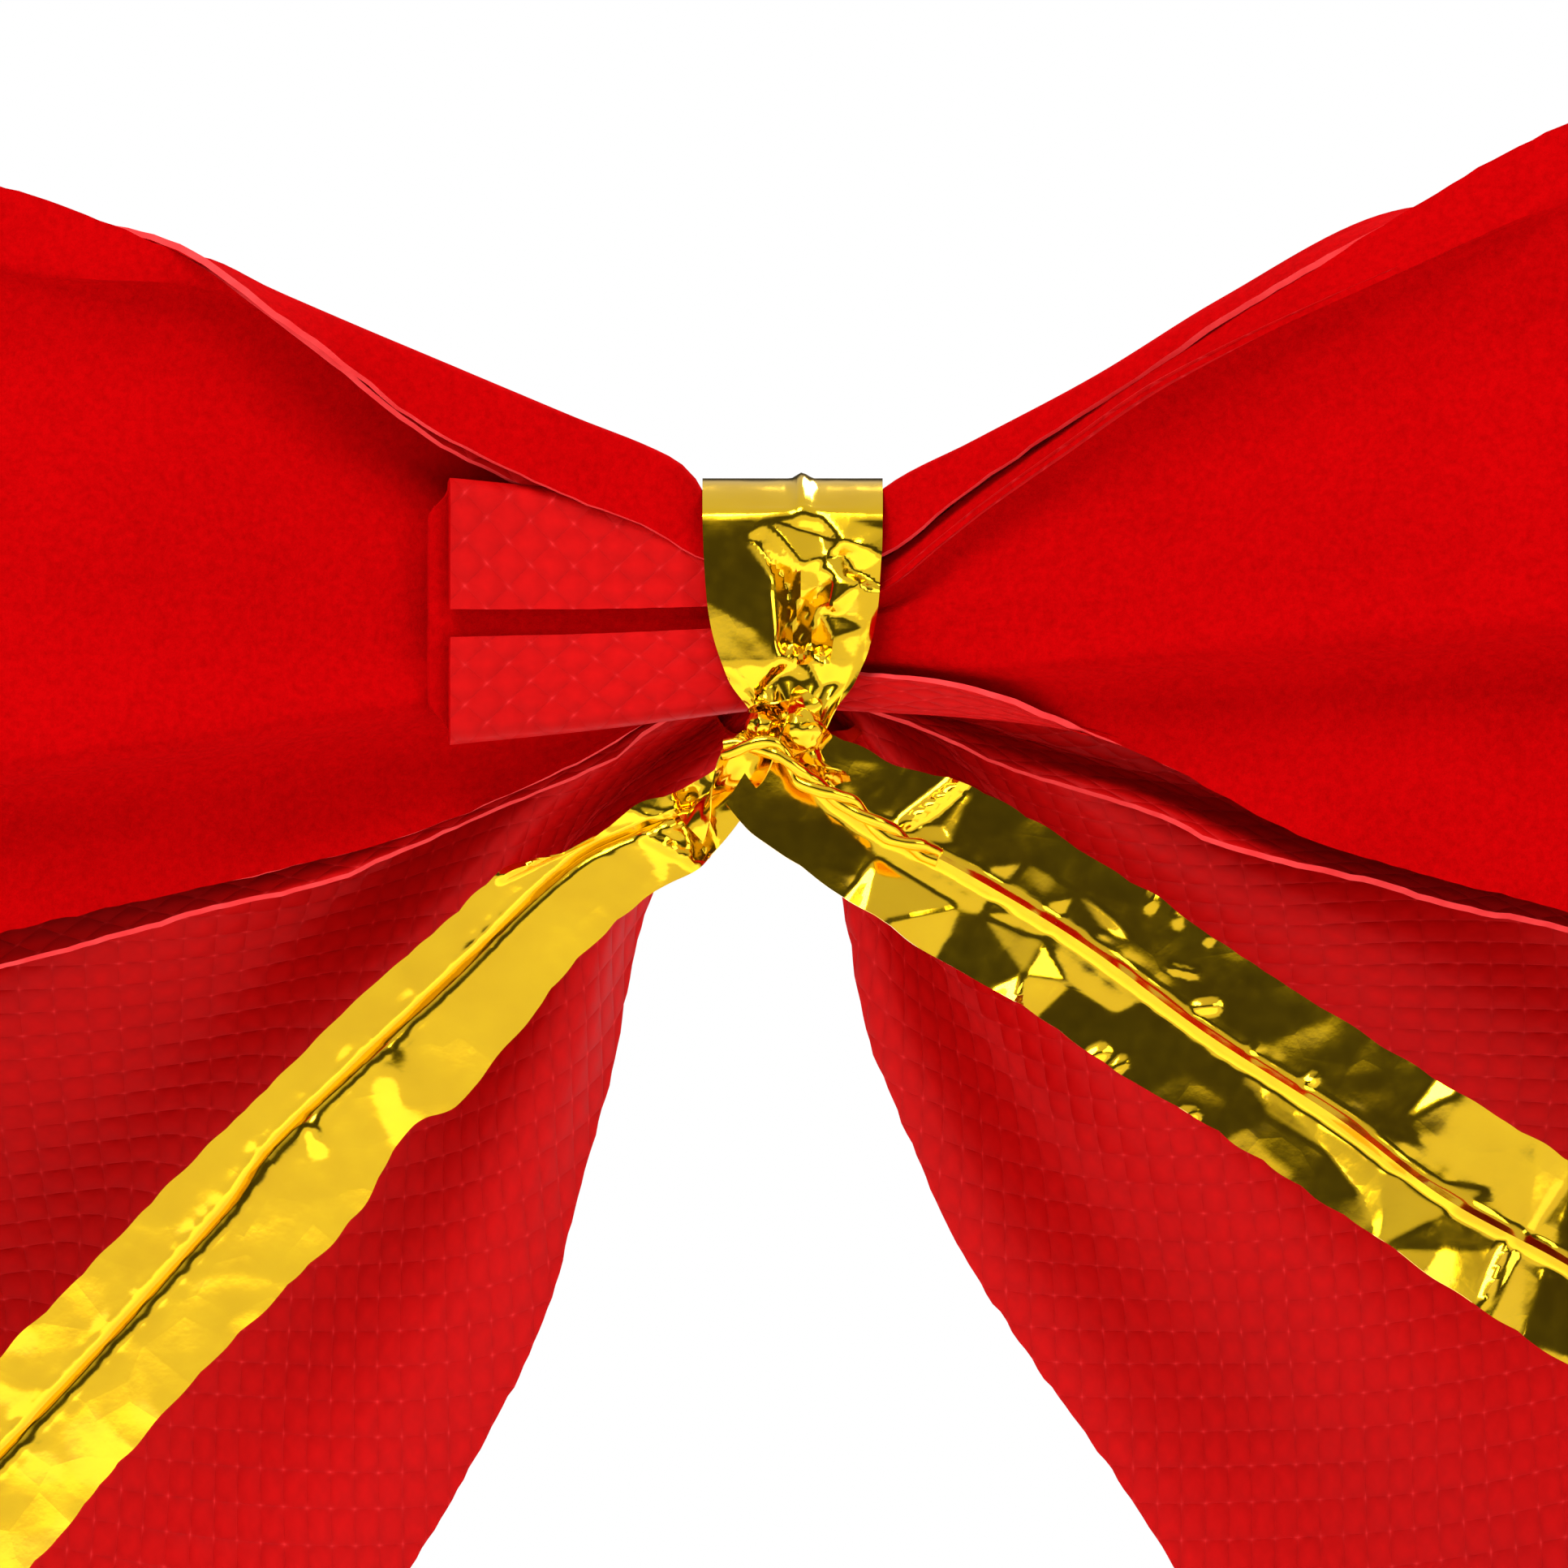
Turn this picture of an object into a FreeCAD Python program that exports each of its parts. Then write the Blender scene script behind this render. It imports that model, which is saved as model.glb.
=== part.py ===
"""Pre-made gift bow, seen from the back along +Y: two strips of velvet ribbon held by a foil twist tie.

Millimetres, +Z up, +X to the right of someone who looks at the back, +Y out of the bow's front.
The origin is the back of the knot, where the tie's two legs part.
"""
import FreeCAD, Part
import math
import os
from FreeCAD import Vector

# ribbon
ribbon_width = 50.0
ribbon_thickness = 0.5
loop_reach = 66.0  # middle of the bow to the far fold of a loop
loop_front = 14.0  # furthest forward that a loop bulges
loop_back = -5.6  # furthest back that a loop bulges
loop_middle = 7.7  # height of the ribbon's centre line at the far fold
gathered_root = 4.7  # length of a loop over which both plies are pleated into one
tail_length = 83.0  # from the waist's edge to the points of the swallow tail
tail_notch = 11.0
tail_lean = 44.0  # degrees between a tail and the vertical
tail_bulge = 8.6  # how far a tail bows out between its two ends
cut_end_length = 8.4
flap_heights = (5.6, 4.6)  # upper and lower margin of the cut end, folded in

# waist, the gathered bundle inside the tie
bundle_height = 10.6
bundle_depth = 8.4
bundle_low = 1.3  # bottom of the bundle above the origin
bundle_half_length = 7.0
tail_layer = 2.4  # how much of the bundle's depth is tail ribbon

# twist tie
tie_width = 8.4
film_thickness = 0.1
wire_diameter = 0.5
left_leg_lengths = (28.0, 28.0)  # root and tip
right_leg_lengths = (29.0, 27.0)
left_leg_start = (-4.6, -3.9)  # x and z of the bend at the knot
right_leg_start = (2.6, -3.6)
left_leg_slope = 43.3  # degrees below the horizontal
right_leg_slope = 32.1
leg_plane = -1.6  # y of the legs' middle surface
knot_centre = (0.0, -0.3, -0.2)
knot_radii = (1.9, 1.6, 2.6)
twist_turns = 1.5
twist_height = 3.4
stub_width = 4.6
stub_thickness = 1.3

body_gap = 0.3  # between pieces that move on each other
wire_clearance = 0.1  # round a wire inside the crumpled foil

wire_radius = wire_diameter / 2
ridge_radius = wire_radius + film_thickness
bundle_middle_z = bundle_low + bundle_height / 2
loop_root = bundle_half_length + body_gap
root_back = body_gap + 0.7
root_front = bundle_depth - tail_layer - 0.6
big = 400.0


def write(name, shape):
    shape = shape.removeSplitter()
    if shape.ShapeType == "Compound" and len(shape.Solids) == 1:
        shape = shape.Solids[0]
    if not shape.isValid() or any(not s.isClosed() for s in shape.Shells):
        raise ValueError(name + " is not a closed valid solid")
    shape.exportStep("parts/" + name + ".step")


def mirrored(shape):
    return shape.mirror(Vector(0, 0, 0), Vector(1, 0, 0))


def arc(a, b, c):
    return Part.Arc(Vector(*a), Vector(*b), Vector(*c)).toShape()


def line(a, b):
    return Part.LineSegment(Vector(*a), Vector(*b)).toShape()


def box(low, high):
    size = [h - l for l, h in zip(low, high)]
    return Part.makeBox(*size, Vector(*low))


# ---- waist -------------------------------------------------------------------------------------------

def oval_wire(offset, x):
    """The bundle's outline, grown by offset, in the plane of the given x."""
    radius = bundle_depth / 2 + offset
    middle = bundle_depth / 2
    low = bundle_low + bundle_depth / 2
    high = bundle_low + bundle_height - bundle_depth / 2
    return Part.Wire([
        line((x, middle - radius, high), (x, middle - radius, low)),
        arc((x, middle - radius, low), (x, middle, low - radius), (x, middle + radius, low)),
        line((x, middle + radius, low), (x, middle + radius, high)),
        arc((x, middle + radius, high), (x, middle, high + radius), (x, middle - radius, high)),
    ])


def oval_bar(offset, length):
    return Part.Face(oval_wire(offset, -length / 2)).extrude(Vector(length, 0, 0))


def oval_rod(radius):
    """A rod bent round the bundle, centred on the surface where the tie's two films meet."""
    path = oval_wire(film_thickness, 0)
    start = Vector(0, -film_thickness, bundle_low + bundle_height - bundle_depth / 2)
    ring = Part.Wire([Part.makeCircle(radius, start, Vector(0, 0, 1))])
    return path.makePipeShell([ring], True, False)


def make_waist():
    ridge = oval_rod(ridge_radius)
    wire = oval_rod(wire_radius)
    inside = oval_bar(film_thickness, tie_width)
    opening = box((-tie_width, -3, 0), (tie_width, 2.4, 3.4))  # where both ends turn into the knot
    outer = oval_bar(2 * film_thickness, tie_width).fuse(ridge).cut(inside).cut(wire).cut(opening)
    inner = inside.cut(oval_bar(0, tie_width)).fuse(ridge.common(inside)).cut(wire).cut(opening)
    write("tie_band_outer_film", outer)
    write("tie_band_inner_film", inner)
    write("tie_band_wire", wire.cut(opening))

    bundle = oval_bar(0, 2 * bundle_half_length).cut(ridge)
    layer_y = bundle_depth - tail_layer
    front = box((-big, layer_y, -big), (big, big, big))
    beside_tie = box((-bundle_half_length, layer_y, -big), (-tie_width / 2 - wire_clearance, big, big))
    web = make_tail_sheet(0.6, tail_hinge - body_gap / 2).common(beside_tie)
    tail_part = bundle.common(front).fuse([web, mirrored(web)])
    write("loop_ribbon_waist", bundle.cut(front))
    write("tail_ribbon_waist", tail_part)


# ---- loops -------------------------------------------------------------------------------------------

loop_top = loop_middle + ribbon_width / 2
loop_bottom = loop_middle - ribbon_width / 2


def loop_outline():
    """A loop from above, reaching along +X."""
    shoulder = loop_reach - 8
    belly = loop_reach * 0.52
    middle = (loop_front + loop_back) / 2
    return Part.Wire([
        arc((loop_root, root_front, 0), (belly, loop_front, 0), (shoulder, loop_front - 1.4, 0)),
        arc((shoulder, loop_front - 1.4, 0), (loop_reach, middle, 0), (shoulder, loop_back + 1.2, 0)),
        arc((shoulder, loop_back + 1.2, 0), (belly, loop_back, 0), (loop_root, root_back, 0)),
        line((loop_root, root_back, 0), (loop_root, root_front, 0)),
    ])


def loop_height_wedge():
    """The loop's side view: as tall as the bundle at the waist and the full width at the far fold."""
    middle = loop_reach * 0.55
    waist_top = bundle_low + bundle_height
    top = [(loop_root, -big, waist_top + 0.6), (middle, -big, loop_top - 5.5), (loop_reach + 1, -big, loop_top)]
    bottom = [(loop_root, -big, bundle_low), (middle, -big, loop_bottom + 6.8),
              (loop_reach + 1, -big, loop_bottom)]
    outline = Part.Wire([arc(*top), line(top[2], bottom[2]), arc(*bottom[::-1]), line(bottom[0], top[0])])
    return Part.Face(outline).extrude(Vector(0, 2 * big, 0))


def make_loop():
    outline = loop_outline()
    inner = outline.makeOffset2D(-ribbon_thickness)
    base = Vector(0, 0, -big)
    rise = Vector(0, 0, 2 * big)
    hollow = Part.Face(inner).translated(base).extrude(rise)
    hollow = hollow.common(box((loop_root + gathered_root, -big, -big), (big, big, big)))
    band = Part.Face(outline).translated(base).extrude(rise).cut(hollow)
    return band.common(loop_height_wedge())


def make_cut_end(loop):
    """The end of the loop ribbon: a flat ply with both margins folded in over it."""
    start = loop_root
    low, high = bundle_low - 0.9, bundle_low + bundle_height
    back = root_back - 0.25
    plies = [
        ((0, -ribbon_thickness, low), (cut_end_length, 0, high)),
        ((0.8, -2 * ribbon_thickness, high - flap_heights[0]), (cut_end_length, -ribbon_thickness, high)),
        ((0.8, -2 * ribbon_thickness, low), (cut_end_length, -ribbon_thickness, low + flap_heights[1])),
    ]
    flat = box(*plies[0])
    for low_corner, high_corner in plies[1:]:
        flat = flat.fuse(box(low_corner, high_corner))
    lean = math.degrees(math.atan2(root_back - loop_back, loop_reach * 0.52 - loop_root))
    flat.rotate(Vector(0, 0, 0), Vector(0, 0, 1), -1.6 * lean)
    flat.translate(Vector(start, back, 0))
    keep = box((loop_root, -big, -big), (big, big, big))
    return flat.common(keep).cut(loop)


def make_loops():
    loop = make_loop()
    write("loop_ribbon_right_loop", loop)
    write("loop_ribbon_left_loop", mirrored(loop))
    write("loop_ribbon_cut_end", mirrored(make_cut_end(loop)))


# ---- tails -------------------------------------------------------------------------------------------

tail_hinge = 5.0  # distance of the bend from the origin, along the tail
tail_axis = Vector(-math.sin(math.radians(tail_lean)), 0, -math.cos(math.radians(tail_lean)))
tail_across = Vector(-math.cos(math.radians(tail_lean)), 0, math.sin(math.radians(tail_lean)))
tail_middle = tail_across.z * bundle_middle_z + bundle_half_length * 0.4  # centre line, across the tail
tail_start_y = bundle_depth + 0.5


def tail_point(along, across, y):
    return tail_axis * along + tail_across * across + Vector(0, y, 0)


def tail_outline(start, end):
    """The tail in its own flat view: fanned out from the waist, with a swallow tail at the end."""
    half = ribbon_width / 2
    root_half = bundle_height * 0.43
    points = [
        (start, tail_middle - root_half), (17, tail_middle - 12.5), (30, tail_middle - 20.5),
        (48, tail_middle - half), (end, tail_middle - half), (end - tail_notch, tail_middle),
        (end, tail_middle + half), (48, tail_middle + half), (26, tail_middle + 18),
        (start, tail_middle + root_half),
    ]
    corners = [tail_point(along, across, -big) for along, across in points]
    return Part.Face(Part.makePolygon(corners + corners[:1])).extrude(Vector(0, 2 * big, 0))


def make_tail_sheet(start, stop):
    """The left tail between two distances from the origin, measured along it."""
    span = tail_length - tail_hinge

    def side_arc(lift, across):
        ends = [(tail_hinge - 5, tail_start_y - 2.6), (tail_hinge + span * 0.47, tail_start_y + tail_bulge + 2.9),
                (tail_length + 5, tail_start_y + 4.1)]
        return [tail_point(along, across, y + lift) for along, y in ends]

    near, far = side_arc(0, -big), side_arc(ribbon_thickness, -big)
    section = Part.Wire([
        Part.Arc(*near).toShape(), Part.LineSegment(near[2], far[2]).toShape(),
        Part.Arc(*far[::-1]).toShape(), Part.LineSegment(far[0], near[0]).toShape(),
    ])
    sheet = Part.Face(section).extrude(tail_across * (2 * big))
    room = tail_outline(start, max(stop, tail_length))
    if stop < tail_length:
        slab = Part.makeBox(2 * big, 2 * big, stop - start)
        slab.translate(Vector(-big, -big, 0))
        slab.rotate(Vector(0, 0, 0), Vector(0, 1, 0), 180 + tail_lean)
        slab.translate(tail_axis * start)
        room = room.common(slab)
    return sheet.common(room)


def make_tails():
    tail = make_tail_sheet(tail_hinge + body_gap / 2, tail_length)
    write("tail_ribbon_left_tail", tail)
    write("tail_ribbon_right_tail", mirrored(tail))


# ---- twist tie ---------------------------------------------------------------------------------------

def leg_direction(side, slope):
    angle = math.radians(slope)
    return Vector(side * math.cos(angle), 0, -math.sin(angle))


def leg_frame(start, direction):
    """Places a piece made along +X, with its outer face up, so that it leaves start along direction."""
    outward = Vector(0, -1, 0)
    across = outward.cross(direction)
    turn = FreeCAD.Matrix(direction.x, across.x, outward.x, start.x,
                          direction.y, across.y, outward.y, start.y,
                          direction.z, across.z, outward.z, start.z,
                          0, 0, 0, 1)
    return FreeCAD.Placement(turn)


def leg_pieces(length):
    """Two films with a wire between them, from x = half a gap to x = length less half a gap."""
    first, last = body_gap / 2, length - body_gap / 2
    run = last - first
    base, way = Vector(first, 0, 0), Vector(1, 0, 0)
    ridge = Part.makeCylinder(ridge_radius, run, base, way)
    wire = Part.makeCylinder(wire_radius, run, base, way)
    half = tie_width / 2
    outer = box((first, -half, 0), (last, half, film_thickness))
    outer = outer.fuse(ridge.common(box((first, -half, 0), (last, half, half)))).cut(wire)
    inner = box((first, -half, -film_thickness), (last, half, 0))
    inner = inner.fuse(ridge.common(box((first, -half, -half), (last, half, 0)))).cut(wire)
    return {"outer_film": outer, "inner_film": inner, "wire": wire}


legs = {
    "left": (left_leg_start, leg_direction(-1, left_leg_slope), left_leg_lengths),
    "right": (right_leg_start, leg_direction(1, right_leg_slope), right_leg_lengths),
}


def make_legs():
    for side, (start, direction, lengths) in legs.items():
        place = Vector(start[0], leg_plane, start[1])
        for part, length in zip(("root", "tip"), lengths):
            for piece, shape in leg_pieces(length).items():
                shape.Placement = leg_frame(place, direction)
                write("tie_" + side + "_leg_" + part + "_" + piece, shape)
            place = place + direction * length


def rod(start, end, radius):
    way = end - start
    return Part.makeCylinder(radius, way.Length, start, way)


def make_knot():
    centre = Vector(*knot_centre)
    lump = Part.makeSphere(1)
    stretch = FreeCAD.Matrix()
    stretch.scale(*knot_radii)
    lump = lump.transformGeometry(stretch).translated(centre)
    top = centre + Vector(0, 0, twist_height / 2)
    bottom = centre - Vector(0, 0, twist_height / 2)
    twist_radius = wire_radius + wire_clearance / 2
    bore_radius = twist_radius + wire_radius + wire_clearance

    strands = []
    foil = lump
    bores = [rod(bottom, top + Vector(0, 0, 3), bore_radius)]
    for side, (start, direction, lengths) in legs.items():
        turn = 0 if side == "right" else 180
        helix = Part.makeHelix(twist_height / twist_turns, twist_height, twist_radius)
        ring = Part.Wire([Part.makeCircle(wire_radius, Vector(twist_radius, 0, 0), Vector(0, 1, 0))])
        strand = Part.Wire(helix.Edges).makePipeShell([ring], True, True)
        strand.rotate(Vector(0, 0, 0), Vector(0, 0, 1), turn)
        strand.translate(bottom)
        sign = 1 if side == "right" else -1
        corner = bottom + Vector(sign * twist_radius, 0, 0)
        hinge = Vector(start[0], leg_plane, start[1])
        leg_end = hinge - direction * (body_gap / 2)
        strand = strand.fuse([Part.makeSphere(wire_radius, corner), rod(corner, leg_end, wire_radius)])
        strands.append(strand)
        stub = Part.makeBox(stub_width / 2 + 3, stub_width, stub_thickness)
        stub.translate(Vector(-stub_width / 2 - 3 - body_gap / 2, -stub_width / 2, -stub_thickness / 2))
        stub.Placement = leg_frame(hinge, direction).multiply(stub.Placement)
        foil = foil.fuse(stub)
        bores.append(rod(corner, leg_end * 1.4 - corner * 0.4, wire_radius + wire_clearance))
        bores.append(Part.makeSphere(bore_radius, bottom))
    write("tie_knot_foil", foil.cut(bores))
    write("tie_knot_wire", Part.makeCompound(strands))


os.makedirs("parts", exist_ok=True)
make_waist()
make_loops()
make_tails()
make_legs()
make_knot()
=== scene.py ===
import math
from bisect import bisect

import bmesh
import bpy
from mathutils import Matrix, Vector, geometry, noise


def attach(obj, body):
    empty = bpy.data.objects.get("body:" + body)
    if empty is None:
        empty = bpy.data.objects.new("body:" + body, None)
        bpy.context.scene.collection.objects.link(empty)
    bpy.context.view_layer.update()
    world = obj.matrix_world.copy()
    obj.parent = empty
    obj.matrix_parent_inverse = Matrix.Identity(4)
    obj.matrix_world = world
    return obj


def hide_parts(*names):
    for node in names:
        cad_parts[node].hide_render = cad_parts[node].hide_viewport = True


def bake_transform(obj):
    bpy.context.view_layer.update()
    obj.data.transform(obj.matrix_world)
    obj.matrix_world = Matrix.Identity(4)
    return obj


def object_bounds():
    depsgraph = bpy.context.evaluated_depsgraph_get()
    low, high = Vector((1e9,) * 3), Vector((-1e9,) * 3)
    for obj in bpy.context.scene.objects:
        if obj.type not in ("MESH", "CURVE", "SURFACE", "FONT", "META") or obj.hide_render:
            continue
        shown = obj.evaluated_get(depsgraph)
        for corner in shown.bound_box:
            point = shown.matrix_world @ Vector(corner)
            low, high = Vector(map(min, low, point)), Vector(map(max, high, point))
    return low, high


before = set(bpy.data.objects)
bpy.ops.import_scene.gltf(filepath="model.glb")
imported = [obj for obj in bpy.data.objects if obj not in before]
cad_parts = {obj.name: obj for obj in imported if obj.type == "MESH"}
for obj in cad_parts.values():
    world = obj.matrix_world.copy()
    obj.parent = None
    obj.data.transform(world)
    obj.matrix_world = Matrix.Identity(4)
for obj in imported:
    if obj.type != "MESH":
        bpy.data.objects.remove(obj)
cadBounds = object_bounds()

# Everything below is set out in millimetres and placed in metres.
mm = 0.001
sharpAngle = math.radians(52)     # folds steeper than this stay crisp


def curveThrough(points):
    # a smooth curve through given points, each a station and then its values
    stations = [point[0] for point in points]
    values = [Vector((point[1:] + (0, 0))[:3]) for point in points]
    last = len(points) - 1
    slopes = []
    for i in range(last + 1):
        low, high = max(i - 1, 0), min(i + 1, last)
        slopes.append((values[high] - values[low]) / (stations[high] - stations[low]))

    def at(station):
        i = min(max(bisect(stations, station) - 1, 0), last - 1)
        span = stations[i + 1] - stations[i]
        t = min(max((station - stations[i]) / span, 0), 1)
        t2, t3 = t * t, t * t * t
        return (values[i] * (2 * t3 - 3 * t2 + 1) + slopes[i] * span * (t3 - 2 * t2 + t)
                + values[i + 1] * (3 * t2 - 2 * t3) + slopes[i + 1] * span * (t3 - t2))

    return at


def smoothStep(low, high, x):
    t = min(max((x - low) / (high - low), 0), 1)
    return t * t * (3 - 2 * t)


def tent(x, halfWidth):
    # a straight-sided crease, 1 at its crest and 0 past its feet
    return max(0.0, 1 - abs(x) / halfWidth)


def uneven(x, y, z):
    # smooth unevenness between about -1 and 1, the same on every run
    return noise.noise(Vector((x, y, z)))


def facets(points):
    # flat facets between given points (along, across, height), as crumpled film makes
    tiny = 1e-6
    flat = [Vector(point[:2]) for point in points]
    _, _, faces, *_ = geometry.delaunay_2d_cdt(flat, [], [], 0, tiny)
    corners = [[Vector((points[i][0], points[i][1], 0)) for i in face] for face in faces]
    heights = [[points[i][2] for i in face] for face in faces]

    def at(along, across):
        spot = Vector((along, across, 0))
        for (a, b, c), (ha, hb, hc) in zip(corners, heights):
            whole = (b - a).cross(c - a).z
            u = (b - spot).cross(c - spot).z / whole
            v = (c - spot).cross(a - spot).z / whole
            if u > -tiny and v > -tiny and u + v < 1 + tiny:
                return u * ha + v * hb + (1 - u - v) * hc
        return 0.0

    return at


def flatStrip(name, length, width, cell, place, flip=False):
    # a flat strip of the cut size, whose every point then goes where place(along, across) puts it
    strip = bmesh.new()
    cellsAlong = round(length / cell)
    cellsAcross = round(width / cell)
    bmesh.ops.create_grid(strip, x_segments=cellsAlong, y_segments=cellsAcross, size=0.5)
    cut = strip.loops.layers.uv.new("cut")
    for face in strip.faces:
        for corner in face.loops:
            co = corner.vert.co
            corner[cut].uv = ((co.x + 0.5) * length * mm, (co.y + 0.5) * width * mm)
    for vert in strip.verts:
        vert.co = Vector(place((vert.co.x + 0.5) * length, (vert.co.y + 0.5) * width)) * mm
    if flip:
        bmesh.ops.reverse_faces(strip, faces=strip.faces)
    mesh = bpy.data.meshes.new(name)
    strip.to_mesh(mesh)
    strip.free()
    mesh.shade_smooth()
    piece = bpy.data.objects.new(name, mesh)
    bpy.context.scene.collection.objects.link(piece)
    return piece


def finishSheet(piece, materials, thickness, offset=0.0):
    # gives a strip its thickness: face, reverse and cut rim each in their own material
    for material in materials:
        piece.data.materials.append(material)
    wall = piece.modifiers.new("thickness", "SOLIDIFY")
    wall.thickness = thickness * mm
    wall.offset = offset
    wall.material_offset = 1
    wall.material_offset_rim = 2
    bakeModifiers(piece)
    return piece


def bakeModifiers(piece):
    graph = bpy.context.evaluated_depsgraph_get()
    baked = bpy.data.meshes.new_from_object(piece.evaluated_get(graph), depsgraph=graph)
    baked.set_sharp_from_angle(angle=sharpAngle)
    piece.modifiers.clear()
    piece.data = baked


class Socket:
    # wraps a node's output so that shader maths reads as ordinary expressions
    def __init__(self, tree, output):
        self.tree = tree
        self.output = output

    def node(self, kind, settings=None, inputs=None, out=0):
        made = self.tree.nodes.new(kind)
        for key, value in (settings or {}).items():
            if key == "stops":
                ramp = made.color_ramp
                while len(ramp.elements) < len(value):
                    ramp.elements.new(0.5)
                for stop, (place, colour) in zip(ramp.elements, value):
                    stop.position = place
                    stop.color = colour
            else:
                setattr(made, key, value)
        for key, value in (inputs or {}).items():
            socket = made.inputs[key]
            if isinstance(value, Socket):
                self.tree.links.new(value.output, socket)
            else:
                socket.default_value = value
        return Socket(self.tree, made.outputs[out])

    def maths(self, operation, a, b=0.0, c=0.0):
        return self.node("ShaderNodeMath", {"operation": operation}, {0: a, 1: b, 2: c})

    def __add__(self, other):
        return self.maths("ADD", self, other)

    __radd__ = __add__

    def __mul__(self, other):
        return self.maths("MULTIPLY", self, other)

    __rmul__ = __mul__

    def __sub__(self, other):
        return self.maths("SUBTRACT", self, other)

    def __rsub__(self, other):
        return self.maths("SUBTRACT", other, self)

    def __pow__(self, other):
        return self.maths("POWER", self, other)

    def __abs__(self):
        return self.maths("ABSOLUTE", self)

    def sine(self):
        return self.maths("SINE", self)


def startMaterial(name, finish):
    # finish holds what is the same all over; returns the material, its surface and a maker of nodes
    material = bpy.data.materials.new(name)
    material.use_nodes = True
    tree = material.node_tree
    surface = next(n for n in tree.nodes if n.type == "BSDF_PRINCIPLED")
    for key, value in finish.items():
        surface.inputs[key].default_value = value
    return material, surface, Socket(tree, None)


def feed(surface, key, socket):
    socket.tree.links.new(socket.output, surface.inputs[key])


def mixColour(maker, share, low, high):
    return maker.node("ShaderNodeMix", {"data_type": "RGBA"}, {0: share, 6: low, 7: high}, out=2)


def grains(maker, place, scale, detail=3.0, roughness=0.5):
    return maker.node("ShaderNodeTexNoise", None,
                      {"Vector": place, "Scale": scale, "Detail": detail, "Roughness": roughness})


def stretch(maker, value, limits):
    # spreads what lies between the limits over 0 to 1
    low, high = limits
    return maker.node("ShaderNodeMapRange", None, {"Value": value, "From Min": low, "From Max": high})


def bumps(maker, strength, distance, height):
    return maker.node("ShaderNodeBump", None, {"Strength": strength, "Distance": distance, "Height": height})


print("shader helpers ready")


velvetLook = {
    "deep": (0.30, 0.0002, 0.0006, 1),
    "bright": (0.42, 0.0004, 0.0011, 1),
    "finish": {"Roughness": 1.0, "Specular IOR Level": 0.01, "Sheen Weight": 0.10,
               "Sheen Roughness": 0.3, "Sheen Tint": (1.0, 0.02, 0.03, 1)},
    "pileScale": 2600.0,
    "patchScale": 140.0,
    "patchShare": 0.25,
    "spread": (0.3, 0.62),
    "pileBump": 0.06 * mm,
}


def velvetMaterial(name, look=velvetLook):
    material, surface, maker = startMaterial(name, look["finish"])
    place = maker.node("ShaderNodeTexCoord", out="Object")
    pile = grains(maker, place, look["pileScale"], roughness=0.7)
    patches = grains(maker, place, look["patchScale"], detail=4.0)
    share = pile * (1 - look["patchShare"]) + patches * look["patchShare"]
    share = stretch(maker, share, look["spread"])
    feed(surface, "Base Color", mixColour(maker, share, look["deep"], look["bright"]))
    feed(surface, "Normal", bumps(maker, 0.6, look["pileBump"], pile))
    return material


backingLook = {
    "deep": (0.37, 0.0004, 0.0006, 1),
    "bright": (0.55, 0.0018, 0.0020, 1),
    # painted highlight: the colour of the pale glints where the embossed lines cross
    "paintedGlint": (0.80, 0.028, 0.030, 1),
    "finish": {"Specular IOR Level": 0.07},
    "pitch": 1.5 * mm,          # between embossed lines, which run at 45 degrees to the ribbon
    "embossDepth": 0.09 * mm,
    "fibreScale": 1500.0,
    "blotchScale": 120.0,
    "spread": (0.25, 0.8),
    "risingWhere": (0.46, 0.54),
    "glintAcross": 7.0,          # the higher, the thinner the painted glints
    "glintAlong": 2.5,           # the higher, the shorter the painted glints
    # how strongly the painted glints show
    "glintStrength": 1.2,
}


def backingMaterial(name, look=backingLook):
    material, surface, maker = startMaterial(name, look["finish"])
    cut = maker.node("ShaderNodeUVMap", {"uv_map": "cut"})
    split = maker.node("ShaderNodeSeparateXYZ", None, {"Vector": cut})
    along = split
    across = Socket(split.tree, split.output.node.outputs["Y"])
    turn = math.pi / look["pitch"] / math.sqrt(2)
    risingLines = 1 - abs(((along + across) * turn).sine())
    fallingLines = 1 - abs(((along - across) * turn).sine())
    pillow = ((1 - risingLines) * (1 - fallingLines)) ** 0.7
    fibre = grains(maker, cut, look["fibreScale"], detail=4.0)
    blotch = grains(maker, cut, look["blotchScale"])
    # the embossed relief is also painted into the tone as painted shade: darker along the pressed lines and
    # lighter on the raised cells, besides the random fibre and blotch
    share = stretch(maker, pillow * 0.22 + fibre * 0.5 + blotch * 0.3, look["spread"])
    # painted highlight: short pale glints where the embossed lines cross, some rising and some falling
    rising = stretch(maker, blotch, look["risingWhere"])
    thin, short = look["glintAcross"], look["glintAlong"]
    paintedGlints = (risingLines ** short * fallingLines ** thin * rising
              + fallingLines ** short * risingLines ** thin * (1 - rising)) * fibre * look["glintStrength"]
    ground = mixColour(maker, share, look["deep"], look["bright"])
    # the painted glints are laid over the ground colour
    feed(surface, "Base Color", mixColour(maker, paintedGlints, ground, look["paintedGlint"]))
    feed(surface, "Roughness", fibre * 0.25 + 0.42)
    feed(surface, "Normal", bumps(maker, 0.7, look["embossDepth"], pillow + fibre * 0.15))
    return material


rimLook = {
    "deep": (0.62, 0.006, 0.008, 1),
    "bright": (0.85, 0.06, 0.06, 1),
    "finish": {"Roughness": 0.8, "Specular IOR Level": 0.2},
    "frayScale": 900.0,
}


def rimMaterial(name, look=rimLook):
    # the cut edge, where the pale core of the ribbon shows
    material, surface, maker = startMaterial(name, look["finish"])
    place = maker.node("ShaderNodeTexCoord", out="Object")
    fray = grains(maker, place, look["frayScale"])
    feed(surface, "Base Color", mixColour(maker, fray, look["deep"], look["bright"]))
    return material


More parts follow.
